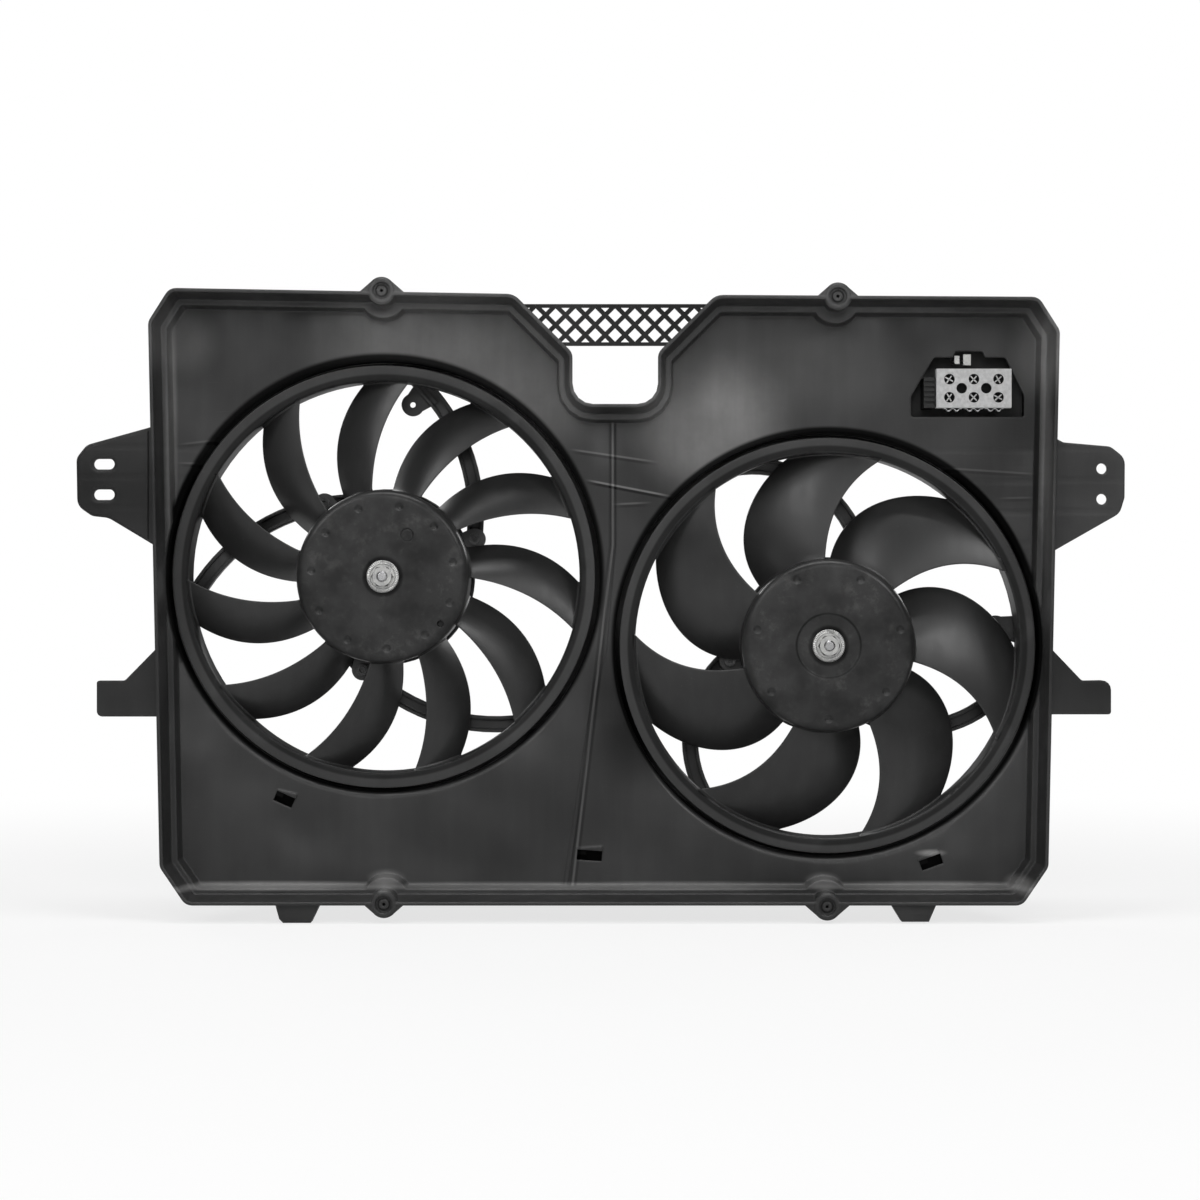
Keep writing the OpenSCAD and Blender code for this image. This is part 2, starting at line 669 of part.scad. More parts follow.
module shroud() color("#2b2c2e") face_on() difference() {
  union() {
    difference() {
      union() {
        shroud_outside();
        for (side = ["left", "right"]) {
          at_fan(side) drum(side_barrel_r(side) + wall, ledge_depth - 6, barrel_depth);
          mouth_backing(side);
        }
        bracket_plates();
        bracket_pad();
        bracket_gussets();
        clip_hoods();
        edge_ear_pads();
        slab(foot_front, foot_rear) polygon(left_foot);
        slab(foot_front, foot_rear) polygon(right_foot);
        for (p = housing_screws) translate([p[0], p[1], 0])
          drum(housing_boss_r, face_depth, housing_boss_rear);
      }
      shroud_cavity();
      for (side = ["left", "right"]) {
        at_fan(side) drum(side_barrel_r(side), ledge_depth - 6, barrel_depth - barrel_lip_t);
        at_fan(side) drum(side_barrel_r(side) - barrel_lip, ledge_depth, barrel_depth + cut);
        mouth_cut(side);
      }
      slab(face_depth - cut, face_rear + cut) polygon(rounded(window_shape));
      clip_pockets();
      for (p = housing_screws) translate([p[0], p[1], 0])
        drum(pilot_r + 0.5, face_rear, housing_boss_rear + cut);
    }
    edge_ear_bosses();
    clip_brows();
    face_seam();
    rear_ribs();
    for (side = ["left", "right"]) at_fan(side) carrier_arms(side);
  }
  bracket_holes();
  edge_ear_cuts();
}

// Lattice guard across the top of the notch
module notch_grille() color("#2b2c2e") face_on() difference() {
  slope_left = notch_left - grille_top_h + notch_shoulder_h - 12;
  slope_right = notch_right + grille_top_h - notch_shoulder_h + 12;
  span = slope_right - slope_left;
  tall = grille_top_h - grille_low_h;
  strips = ceil((span / 2 + tall) / grille_pitch);
  slab(grille_depth, grille_depth + grille_t) intersection() {
    polygon([
      [notch_left - 8, grille_low_h], [notch_right + 8, grille_low_h],
      [slope_right, grille_top_h], [slope_left, grille_top_h]
    ]);
    union() {
      for (h = [grille_low_h, grille_top_h - grille_bar]) translate([slope_left, h])
        square([span, grille_bar]);
      for (lean = [-45, 45]) for (k = [-strips : strips])
        translate([notch_x + k * grille_pitch, grille_low_h + tall / 2]) rotate(lean)
          square([grille_strip, 2 * tall], center = true);
    }
  }
  shroud_outside();
}

// Fan: hub shell, swept cambered blades and a flanged band in one moulding
function lean(c, u) = c[0] + c[1] * u + c[2] * u * u;
function mix(a, b, u) = a + (b - a) * u;
blade_stations = 7;
blade_points = 7;
function blade_ring(side, u, hub, tip) =
  let (
    r = mix(hub, tip, u),
    lead = lean(side_lead(side), u),
    span = lean(side_trail(side), u) - lead,
    edges = side_edges(side),
    front = hub_front + mix(edges[0], edges[2], u),
    fall = hub_front + mix(edges[1], edges[3], u) - front,
    arc = r * span * PI / 180
  )
  [for (k = [0 : 2 * blade_points - 1])
    let (
      face = k < blade_points ? -1 : 1,
      s = (face < 0 ? k : 2 * blade_points - 1 - k) / (blade_points - 1),
      slope = fall * (1 - blade_camber + 2 * blade_camber * s),
      half = blade_t / 2 * (0.35 + 0.65 * sin(180 * s)) * (1.15 - 0.3 * u),
      chord = (1 - blade_camber) * s + blade_camber * s * s,
      depth = front + fall * chord + face * half * arc / norm([arc, slope]),
      angle = lead + span * s - face * half * slope / norm([arc, slope]) / r * 180 / PI
    )
    [r * cos(angle), r * sin(angle), -depth]];
module blade(side) {
  hub = hub_r;
  tip = side_band_r(side) - band_flange - band_t;
  step = 1 / (blade_stations - 1);
  over = 1.2 / (tip - hub);
  n = 2 * blade_points;
  points = [for (i = [0 : blade_stations - 1])
    each blade_ring(side, mix(-over, 1 + over, i * step), hub, tip)];
  last = (blade_stations - 1) * n;
  polyhedron(
    points = points,
    faces = concat(
      [for (k = [1 : blade_points - 1]) for (t = [0, 1]) t == 0 ?
        [k, k - 1, n - 1 - k] : [k - 1, n - k, n - 1 - k]],
      [for (i = [0 : blade_stations - 2]) for (k = [0 : n - 1]) for (t = [0, 1])
        let (a = i * n + k, b = i * n + (k + 1) % n, c = a + n, d = b + n)
        t == 0 ? [a, b, c] : [b, d, c]],
      [for (k = [1 : blade_points - 1]) for (t = [0, 1]) t == 0 ?
        [last + k - 1, last + k, last + n - 1 - k] : [last + k - 1, last + n - 1 - k, last + n - k]]
    )
  );
}
// Balance hole and the ring left by the moulding gate, on the left hub
balance_angle = -39.2;
balance_ring = 55;
balance_r = 2.4;
gate_angle = 59.5;
gate_ring = 35.5;
gate_r = 5;
gate_t = 0.9;
module fan_hub(side) difference() {
  turned() difference() {
    union() {
      section(0, hub_r - hub_round, hub_front, hub_rear);
      section(0, hub_r, hub_front + hub_round, hub_rear);
      translate([hub_r - hub_round, -hub_front - hub_round]) circle(hub_round);
    }
    section(hub_boss_r, hub_r - hub_round, hub_front + dish_depth + hub_wall, hub_rear + cut);
    section(hub_boss_r, hub_r - hub_wall, hub_front + hub_round, hub_rear + cut);
    section(0, hub_boss_r + cut, hub_boss_rear, hub_rear + cut);
    polygon([
      [0, -hub_front + cut], [side_dish_r(side) + side_dish_slope(side) * cut / dish_depth, -hub_front + cut],
      [side_dish_r(side) - side_dish_slope(side), -hub_front - dish_depth], [0, -hub_front - dish_depth]
    ]);
  }
  drum(shaft_r + press_fit, hub_front - cut, hub_rear);
  for (k = [0 : side_blades(side) - 1]) rotate(side_dimple_angle(side) + k * 360 / side_blades(side))
    translate([side_dimple_ring(side), 0, -hub_front + dimple_r]) sphere(r = dimple_r * 1.45);
  if (side == "left") {
    rotate(balance_angle) translate([balance_ring, 0, 0]) drum(balance_r, hub_front - cut, hub_front + 8);
    rotate(gate_angle) translate([gate_ring, 0, 0]) difference() {
      drum(gate_r, hub_front - cut, hub_front + gate_t);
      drum(gate_r - 0.8, hub_front - 2 * cut, hub_front + 2 * gate_t);
    }
  }
}
module hub_ribs(side) for (k = [0 : side_blades(side) - 1]) rotate((k + 0.5) * 360 / side_blades(side))
  translate([hub_boss_r - 1, -1, 0]) slab(hub_front + dish_depth + 1, can_front - 4)
    square([hub_r - hub_wall - hub_boss_r + 1.5, 2]);
module fan_band(side) turned() {
  r = side_band_r(side);
  section(r - band_flange, r, band_front, band_front + band_t);
  section(r - band_flange - band_t, r - band_flange, band_front + band_t, band_rear);
  translate([r - band_flange, -band_front - band_t]) intersection() {
    circle(band_t);
    translate([-band_t, 0]) square(band_t);
  }
}
module fan(side) on_axis(side) {
  fan_hub(side);
  hub_ribs(side);
  fan_band(side);
  for (k = [0 : side_blades(side) - 1]) rotate(k * 360 / side_blades(side)) blade(side);
}
module left_fan() color("#26272a") fan("left");
module right_fan() color("#26272a") fan("right");

// Rotor parts
module shaft(side) on_axis(side) {
  drum(shaft_r, shaft_front + 1, can_rear + bearing_l - 1);
  translate([0, 0, -shaft_front - 1]) cylinder(r1 = shaft_r, r2 = shaft_r - 1, h = 1);
}
module left_shaft() color("silver") shaft("left");
module right_shaft() color("silver") shaft("right");

module fan_washer(side) on_axis(side) difference() {
  drum(washer_r, washer_front, washer_front + washer_t);
  drum(shaft_r + seat_gap, washer_front - cut, washer_front + washer_t + cut);
}
module left_fan_washer() color("silver") fan_washer("left");
module right_fan_washer() color("silver") fan_washer("right");

module fan_nut(side) on_axis(side) difference() {
  intersection() {
    translate([0, 0, -washer_front]) cylinder(r = nut_flats / 2 / cos(30), h = nut_t, $fn = 6);
    translate([0, 0, -washer_front])
      cylinder(r1 = nut_flats / 2 / cos(30) + 2.4, r2 = nut_flats / 2, h = nut_t);
  }
  drum(shaft_r + press_fit, nut_front - cut, washer_front + cut);
}
module left_fan_nut() color("silver") fan_nut("left");
module right_fan_nut() color("silver") fan_nut("right");

slot_w = 4.4;
slot_floor_r = core_r * 0.56;
module slot_ring(r0, r1, w, front, rear) for (k = [0 : core_slots - 1]) rotate(k * 360 / core_slots)
  translate([r0, -w / 2, 0]) slab(front, rear) square([r1 - r0, w]);
module armature(side) on_axis(side) difference() {
  drum(core_r, core_front, core_rear);
  drum(shaft_r + press_fit, core_front - cut, core_rear + cut);
  slot_ring(slot_floor_r, core_r - 3, slot_w * 1.8, core_front - cut, core_rear + cut);
  slot_ring(core_r - 4, core_r + cut, slot_w * 0.6, core_front - cut, core_rear + cut);
}
module left_armature() color("#6d6f73") armature("left");
module right_armature() color("#6d6f73") armature("right");

module winding(side) on_axis(side) {
  r0 = slot_floor_r + seat_gap;
  r1 = core_r - 3 - seat_gap;
  turned() section(r0, r1, core_front - turn_l, core_front - seat_gap);
  turned() section(r0, r1, core_rear + seat_gap, core_rear + turn_l);
  slot_ring(r0, r1, slot_w * 1.8 - 2 * seat_gap, core_front - 1, core_rear + 1);
}
module left_winding() color("#b06a3b") winding("left");
module right_winding() color("#b06a3b") winding("right");

module commutator(side) on_axis(side) difference() {
  drum(commutator_r, commutator_front, commutator_front + commutator_l);
  drum(shaft_r + press_fit, commutator_front - cut, commutator_front + commutator_l + cut);
  for (k = [0 : core_slots - 1]) rotate((k + 0.5) * 360 / core_slots)
    translate([commutator_r - 1.2, -0.35, 0]) slab(commutator_front - cut, commutator_front + commutator_l + cut) square([2.2, 0.7]);
}
module left_commutator() color("#b87333") commutator("left");
module right_commutator() color("#b87333") commutator("right");

// Fixed motor parts
module motor_can(side) on_axis(side) difference() {
  union() {
    turned() difference() {
      union() {
        section(0, can_r, can_front + plate_t, can_rear - 4);
        polygon([[0, -can_rear + 5], [can_r, -can_rear + 4], [can_r - 4, -can_rear], [0, -can_rear]]);
        section(0, bearing_r + can_wall, can_rear - cut, bearing_seat_rear + can_wall);
      }
      section(0, can_r - can_wall, can_front, can_rear - 5);
      polygon([
        [0, -can_rear + 6], [can_r - can_wall, -can_rear + 5],
        [can_r - can_wall - 3.4, -can_rear + can_wall], [0, -can_rear + can_wall]
      ]);
      section(0, bearing_r + press_fit, can_rear - 2 * can_wall, can_rear + bearing_l);
      section(0, shaft_r + 2, can_rear, bearing_seat_rear);
    }
    for (turn = side_arms(side)) rotate(turn + screw_angle)
      slab(ear_front, arm_front) {
        translate([can_r - can_wall, -screw_boss_r])
          square([screw_ring_r - can_r + can_wall, 2 * screw_boss_r]);
        translate([screw_ring_r, 0]) circle(screw_boss_r);
      }
  }
  drum(can_r - can_wall, ear_front - cut, arm_front + cut);
  for (turn = side_arms(side)) rotate(turn + screw_angle)
    translate([screw_ring_r, 0, 0]) drum(screw_r + 0.3, ear_front - cut, arm_front + cut);
  for (x = socket_pins) translate([socket_r + x, 0, 0])
    slab(can_rear - 6, can_rear + cut) square([3.4, 9], center = true);
}
socket_r = 31;
socket_pins = [-4, 4];
module left_motor_can() color("#55585c") motor_can("left");
module right_motor_can() color("#55585c") motor_can("right");

module motor_plate(side) on_axis(side) difference() {
  union() {
    drum(can_r, can_front, can_front + plate_t);
    drum(can_r - can_wall - press_fit, can_front + plate_t - 0.5, can_front + plate_t + 1.5);
    drum(bearing_r + 2, can_front, can_front + bearing_l);
  }
  drum(bearing_r + press_fit, can_front + 1, can_front + bearing_l + cut);
  drum(shaft_r + 1.5, can_front - cut, can_front + 2);
  for (k = [0 : 5]) rotate(k * 60) translate([(bearing_r + can_r) / 2, 0, 0])
    drum(6, can_front - cut, can_front + plate_t + 3);
}
module left_motor_plate() color("#55585c") motor_plate("left");
module right_motor_plate() color("#55585c") motor_plate("right");

module magnets(side) on_axis(side) for (k = [0 : 3]) rotate(k * 90 + 10) rotate_extrude(angle = 70)
  section(can_r - can_wall - magnet_t, can_r - can_wall - press_fit,
    core_front - 3, core_front + magnet_l - 3);
module left_magnets() color("#3a3b3d") magnets("left");
module right_magnets() color("#3a3b3d") magnets("right");

brush_w = 6;
brush_l = 12;
holder_rear = can_rear - can_wall - 0.2;
holder_front = commutator_front + commutator_l + 0.6;
module brush_plate(side) on_axis(side) difference() {
  union() {
    drum(can_r - can_wall - 5, holder_front, holder_rear);
    for (k = [0, 1]) rotate(k * 180 + 90) translate([commutator_r + 2, -brush_w / 2 - 2, 0])
      slab(commutator_front, holder_front + 0.5) square([brush_l + 4, brush_w + 4]);
  }
  drum(bearing_r + 0.4, holder_front - cut, holder_rear + cut);
  for (k = [0, 1]) rotate(k * 180 + 90) translate([commutator_r + cut, -brush_w / 2 - 0.1, 0])
    slab(commutator_front + 1, commutator_front + 7.2) square([brush_l + 5.2, brush_w + 0.2]);
  for (x = socket_pins) translate([socket_r + x, 0, 0])
    slab(holder_front - cut, holder_rear + cut) square([1, 6.4], center = true);
}
module left_brush_plate() color("#5c4632") brush_plate("left");
module right_brush_plate() color("#5c4632") brush_plate("right");

module brushes(side) on_axis(side) for (k = [0, 1]) rotate(k * 180 + 90)
  translate([commutator_r + 0.3, -brush_w / 2, 0]) slab(commutator_front + 1.1, commutator_front + 7.1)
    square([brush_l, brush_w]);
module left_brushes() color("#2a2a2a") brushes("left");
module right_brushes() color("#2a2a2a") brushes("right");

module bearing(side, front) on_axis(side) difference() {
  drum(bearing_r, front, front + bearing_l - 1);
  drum(shaft_r + running_fit, front - cut, front + bearing_l + cut);
}
module left_front_bearing() color("#a7a9ac") bearing("left", can_front + 1.2);
module right_front_bearing() color("#a7a9ac") bearing("right", can_front + 1.2);
module left_rear_bearing() color("#a7a9ac") bearing("left", can_rear + 0.6);
module right_rear_bearing() color("#a7a9ac") bearing("right", can_rear + 0.6);

screw_head_r = 4.4;
module motor_screws(side) on_axis(side) for (turn = side_arms(side))
  rotate(turn + screw_angle) translate([screw_ring_r, 0, 0]) {
    difference() {
      drum(screw_head_r, ear_front - screw_head_t, ear_front);
      translate([0, 0, -ear_front + screw_head_t - 1.8]) cylinder(r = screw_head_r - 2, h = 3, $fn = 6);
    }
    drum(screw_r, ear_front - 1, barrel_depth - 1);
  }
module left_motor_screws() color("#c8c8c8") motor_screws("left");
module right_motor_screws() color("#c8c8c8") motor_screws("right");

socket_w = 20;
socket_tall = 14;
socket_l = 12;
socket_wall = 2;
module motor_socket(side) on_axis(side) translate([socket_r, 0, 0]) difference() {
  slab(can_rear, can_rear + socket_l) square([socket_w, socket_tall], center = true);
  slab(can_rear + socket_wall, can_rear + socket_l + cut)
    square([socket_w - 2 * socket_wall, socket_tall - 2 * socket_wall], center = true);
  for (x = socket_pins) translate([x, 0, 0])
    slab(can_rear - cut, can_rear + 3) square([1, 6.4], center = true);
}
module left_motor_socket() color("#303134") motor_socket("left");
module right_motor_socket() color("#303134") motor_socket("right");

module motor_terminals(side) on_axis(side) for (x = socket_pins) translate([socket_r + x, 0, 0])
  slab(holder_front - 0.5, can_rear + 10) square([0.8, 6.2], center = true);
module left_motor_terminals() color("#c9a24a") motor_terminals("left");
module right_motor_terminals() color("#c9a24a") motor_terminals("right");

// Speed resistor
block_front = 31;
block_rear = 41;
housing_wall = 2;
housing_inside = housing_floor - housing_wall;
post_w = 7;
tower_w = 8.4;
tower_tall = 22.5;
tower_x = block_x - block_w / 2 - 0.6;
terminal_x = [260.8, 268.2];
terminal_h = window_h + 41.9;
terminal_r = 1.8;
// Upright prongs at the front of the terminals: [width, height]
terminal_prongs = [[3.7, 6], [5.6, 8]];
rib_grooves = 5;
strap_w = 12;
module housing_box(margin, front, rear) slab(front, rear)
  translate([window_left - margin, window_h - margin])
    square([window_w + 2 * margin, housing_high - housing_low - 2 * (housing_margin - margin)]);
module resistor_housing() color("#1f2022") face_on() difference() {
  union() {
    difference() {
      housing_box(housing_margin, face_rear, housing_floor);
      housing_box(housing_margin - housing_wall, face_rear - cut, housing_inside);
    }
    for (s = [-1, 1]) translate([block_x + s * (block_w / 2 - post_w), block_h, 0])
      slab(block_rear, housing_inside + cut) square([post_w, block_tall - 6], center = true);
    translate([tower_x - tower_w, block_h - block_tall / 2, 0]) difference() {
      slab(block_front + 2, housing_inside + cut) square([tower_w, tower_tall]);
      for (k = [1 : rib_grooves]) translate([-cut, k * tower_tall / (rib_grooves + 1) - 1, 0])
        slab(block_front, block_front + 3.5) square([tower_w + 2 * cut, 2]);
    }
    for (s = [-1, 1]) {
      middle = (housing_low + housing_high) / 2;
      edge = (housing_high - housing_low) / 2;
      translate([window_x, middle + s * edge, 0]) {
        translate([0, s * 6.5, 0]) drum(housing_boss_r + 1.5, housing_boss_rear, housing_boss_rear + wall);
        slab(housing_boss_rear, housing_boss_rear + wall)
          translate([0, s * 3]) square([strap_w, 7.5], center = true);
      }
    }
  }
  for (p = housing_screws) translate([p[0], p[1], 0])
    drum(2.2, housing_boss_rear - cut, housing_boss_rear + wall + cut);
  for (x = terminal_x) translate([x, terminal_h, 0])
    drum(terminal_r + press_fit, housing_inside - cut, housing_floor + cut);
}

module resistor_block() color("#b9bbbd") face_on() difference() {
  translate([block_x - block_w / 2, block_h - block_tall / 2, 0]) slab(block_front, block_rear)
    square([block_w, block_tall]);
  for (row = [-1, 0, 1]) for (k = [0 : (row == 0 ? 1 : 2)])
    translate([block_x + (k - (row == 0 ? 0.5 : 1)) * 18.1, block_h + row * 6.7, 0])
      drum(block_bore_r, block_front - cut, block_front + 7);
}

module resistor_terminals() color("silver") face_on()
  for (k = [0, 1]) translate([terminal_x[k], terminal_h, 0]) {
    drum(terminal_r, block_front + 4, housing_floor + 9);
    slab(block_front + 2, block_front + 4.5) square(terminal_prongs[k], center = true);
  }

// Crimped spring strips under the block: waves along each strip and a leg back to the housing
strip_pitch = 15.5;
strip_steps = 9;
strip_step = 1.5;
strip_t = 0.8;
strip_wave = 1.8;
strip_leg = 4;
strip_l = 6;
function wave_h(i) = i % 4 < 2 ? 0 : -strip_wave;
module resistor_contacts() color("#9b9da0") face_on() for (k = [-1 : 1])
  translate([block_x + k * strip_pitch - strip_steps * strip_step / 2, block_h - block_tall / 2, 0]) {
    slab(block_front + 2, block_front + 2 + strip_l) polygon(concat(
      [for (i = [0 : strip_steps]) [i * strip_step, wave_h(i)]],
      [for (i = [strip_steps : -1 : 0]) [i * strip_step, wave_h(i) - strip_t]]
    ));
    translate([4 * strip_step, 0, 0]) slab(block_front + strip_l, housing_inside)
      translate([0, -strip_t]) square([strip_step, strip_t]);
  }

module resistor_screws() color("#c8c8c8") face_on() for (p = housing_screws) translate([p[0], p[1], 0]) {
  drum(4, housing_boss_rear + wall, housing_boss_rear + wall + 2.6);
  drum(1.5, face_rear + 1, housing_boss_rear + wall + 1);
}

shroud();
notch_grille();
left_fan();
left_shaft();
left_fan_washer();
left_fan_nut();
left_armature();
left_winding();
left_commutator();
left_motor_can();
left_motor_plate();
left_magnets();
left_brush_plate();
left_brushes();
left_front_bearing();
left_rear_bearing();
left_motor_screws();
left_motor_socket();
left_motor_terminals();
right_fan();
right_shaft();
right_fan_washer();
right_fan_nut();
right_armature();
right_winding();
right_commutator();
right_motor_can();
right_motor_plate();
right_magnets();
right_brush_plate();
right_brushes();
right_front_bearing();
right_rear_bearing();
right_motor_screws();
right_motor_socket();
right_motor_terminals();
resistor_housing();
resistor_block();
resistor_terminals();
resistor_contacts();
resistor_screws();
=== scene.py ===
import json
import math

import bmesh
import bpy
from mathutils import Matrix, Vector


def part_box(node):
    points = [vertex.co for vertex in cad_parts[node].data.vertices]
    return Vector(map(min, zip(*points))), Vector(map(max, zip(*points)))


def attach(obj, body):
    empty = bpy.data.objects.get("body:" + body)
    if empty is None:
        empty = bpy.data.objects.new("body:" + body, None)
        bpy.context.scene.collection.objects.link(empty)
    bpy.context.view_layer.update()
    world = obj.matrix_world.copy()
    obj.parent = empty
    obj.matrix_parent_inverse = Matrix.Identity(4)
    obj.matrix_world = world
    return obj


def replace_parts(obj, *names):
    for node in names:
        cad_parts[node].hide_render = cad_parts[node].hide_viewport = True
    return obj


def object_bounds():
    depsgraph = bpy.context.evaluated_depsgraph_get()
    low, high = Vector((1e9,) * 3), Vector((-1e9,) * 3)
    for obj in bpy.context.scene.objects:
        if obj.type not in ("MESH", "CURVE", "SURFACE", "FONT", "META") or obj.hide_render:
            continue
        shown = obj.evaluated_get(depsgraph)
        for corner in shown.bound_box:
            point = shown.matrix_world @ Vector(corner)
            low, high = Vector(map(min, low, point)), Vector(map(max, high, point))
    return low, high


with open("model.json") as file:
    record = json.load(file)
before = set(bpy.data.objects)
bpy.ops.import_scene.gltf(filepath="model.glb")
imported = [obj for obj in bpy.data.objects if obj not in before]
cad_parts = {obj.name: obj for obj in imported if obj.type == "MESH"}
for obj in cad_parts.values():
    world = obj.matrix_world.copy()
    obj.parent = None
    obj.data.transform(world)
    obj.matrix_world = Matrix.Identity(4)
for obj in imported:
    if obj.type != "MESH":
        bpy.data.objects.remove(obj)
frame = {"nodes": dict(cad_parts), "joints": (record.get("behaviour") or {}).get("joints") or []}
cadLow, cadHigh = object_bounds()
print("frame loaded:", len(frame["nodes"]), "nodes")

fanAxis = {j["child"].split("_")[0]: Vector(j["pos_m"]) for j in frame["joints"]}  # where each fan turns
mm = 0.001


class Wire:  # a shader socket that takes plain arithmetic
    def __init__(self, finish, socket):
        self.finish, self.socket = finish, socket

    def maths(self, kind, a, b, clamp=False):
        return self.finish.put("ShaderNodeMath", {"operation": kind, "use_clamp": clamp}, {0: a, 1: b})

    def __add__(self, other): return self.maths("ADD", self, other)
    def __radd__(self, other): return self.maths("ADD", other, self)
    def __sub__(self, other): return self.maths("SUBTRACT", self, other)
    def __rsub__(self, other): return self.maths("SUBTRACT", other, self)
    def __mul__(self, other): return self.maths("MULTIPLY", self, other)
    def __rmul__(self, other): return self.maths("MULTIPLY", other, self)
    def __truediv__(self, other): return self.maths("DIVIDE", self, other)

    def clamped(self): return self.maths("ADD", self, 0.0, clamp=True)

    def above(self, low, high):  # 0 below low, 1 above high, smooth between
        return self.finish.put("ShaderNodeMapRange", {"interpolation_type": "SMOOTHSTEP"},
                               {"Value": self, "From Min": low, "From Max": high})


class Finish:  # the node tree of one material or of the world
    def __init__(self, name, owner=None):
        self.material = owner or bpy.data.materials.new(name)
        self.material.use_nodes = True
        self.tree = self.material.node_tree
        self.tree.nodes.clear()

    def put(self, kind, settings=None, sockets=None, out=0):
        node = self.tree.nodes.new(kind)
        for key, value in (settings or {}).items():
            setattr(node, key, value)
        for key, value in (sockets or {}).items():
            if isinstance(value, Wire):
                self.tree.links.new(value.socket, node.inputs[key])
            else:
                node.inputs[key].default_value = value
        return Wire(self, node.outputs[out]) if node.outputs else node

    def place(self, stretch=(1, 1, 1), shift=(0, 0, 0)):
        at = self.put("ShaderNodeTexCoord", out="Object")
        sockets = {"Vector": at, "Location": shift, "Scale": stretch}
        return self.put("ShaderNodeMapping", {}, sockets)

    def noise(self, size, detail, rough, stretch=(1, 1, 1), shift=(0, 0, 0), cut=None):  # cut: range kept
        at = self.place(stretch, shift)
        sockets = {"Vector": at, "Scale": 1 / size, "Detail": detail, "Roughness": rough}
        cloud = self.put("ShaderNodeTexNoise", {"normalize": True}, sockets)
        return cloud.above(*cut) if cut else cloud

    def layers(self, rows):  # one cloud of noise per row
        return [self.noise(**row) for row in rows.values()]

    def bands(self, direction, look):  # stripes across one axis
        sockets = {"Vector": self.place(), "Scale": 0.314 / look["pitch"], "Distortion": look["waver"], "Detail": 1.0}
        return self.put("ShaderNodeTexWave", {"wave_type": "BANDS", "bands_direction": direction}, sockets)

    def part(self, vector, axis):  # one component of a vector
        return self.put("ShaderNodeSeparateXYZ", {}, {0: vector}, out=axis)

    def size(self, wire):  # length of a vector
        return self.put("ShaderNodeVectorMath", {"operation": "LENGTH"}, {0: wire}, out="Value")

    def absolute(self, wire):
        return self.put("ShaderNodeMath", {"operation": "ABSOLUTE"}, {0: wire})

    def blend(self, share, first, second):  # colours
        return self.put("ShaderNodeMix", {"data_type": "RGBA"}, {0: share, 6: first, 7: second}, out=2)

    def reach(self, axis):  # distance from a fan's axis
        return self.size(self.place((1, 0, 1), (-axis.x, 0, -axis.z)))

    def bump(self, height, depth, strength=1.0, normal=None):
        sockets = {"Height": height, "Distance": depth, "Strength": strength}
        if normal is not None:
            sockets["Normal"] = normal
        return self.put("ShaderNodeBump", {}, sockets)

    def rounded(self, radius):  # softens sharp moulded edges
        return self.put("ShaderNodeBevel", {"samples": 4}, {"Radius": radius})

    def edges(self, soft):  # 1 where the softened normal turns away, along edges
        flat = self.put("ShaderNodeNewGeometry", out="Normal")
        sockets = {0: soft, 1: flat}
        level = self.put("ShaderNodeVectorMath", {"operation": "DOT_PRODUCT"}, sockets, out="Value")
        return (1 - level).above(0.004, 0.10)

    def spot(self, x, z, wide, tall):  # 1 at a place on the front, fading to 0 at its reach
        at = self.place((1 / wide, 0, 1 / tall), (-x / wide, 0, -z / tall))
        return 1 - self.size(at).above(0.25, 1.15)

    def facing(self, axis):  # the surface's own direction along one axis
        return self.part(self.put("ShaderNodeNewGeometry", out="Normal"), axis)

    def shader(self, fixed, shade=None, **sockets):  # shade: share of the surface lost in darkness
        wired = {name.replace("_", " "): wire for name, wire in sockets.items()}
        body = self.put("ShaderNodeBsdfPrincipled", {}, {**fixed, **wired})
        if shade is not None:
            hollow = self.put("ShaderNodeBsdfDiffuse", {}, {"Color": grey(0.004), "Roughness": 0.9})
            body = self.put("ShaderNodeMixShader", {}, {0: shade, 1: body, 2: hollow})
        self.put("ShaderNodeOutputMaterial", {}, {"Surface": body})
        return self.material


def grey(value, warm=0.0):
    return (value * (1 + warm), value, value * (1 - warm), 1)


mouldedLook = {"dark": 0.018, "light": 0.034, "worn": 0.060, "grain": 0.35 * mm, "grainDepth": 0.010 * mm,
               "roughness": 0.34, "edgeRadius": 2.2 * mm, "specular": 0.5, "swell": 14 * mm,
               "sink": 0.10 * mm}


def sinkLines(f, sides):  # faint hollows over the ribs behind the face
    at = f.place()
    across, up = (f.part(at, axis) for axis in "XZ")
    total = 0.0
    for sign, first, pitch, count, start in sides:
        turns = (up - first) / pitch + 10.5
        near = f.put("ShaderNodeMath", {"operation": "FRACT"}, {0: turns}) - 0.5
        line = 1 - f.absolute(near).above(0.02, 0.16)
        band = up.above(first - pitch * 0.4, first - pitch * 0.3)
        band = band * (1 - up.above(first + pitch * (count - 0.7), first + pitch * (count - 0.6)))
        total = line * band * (across * sign).above(start, start + 12 * mm) + total
    return total


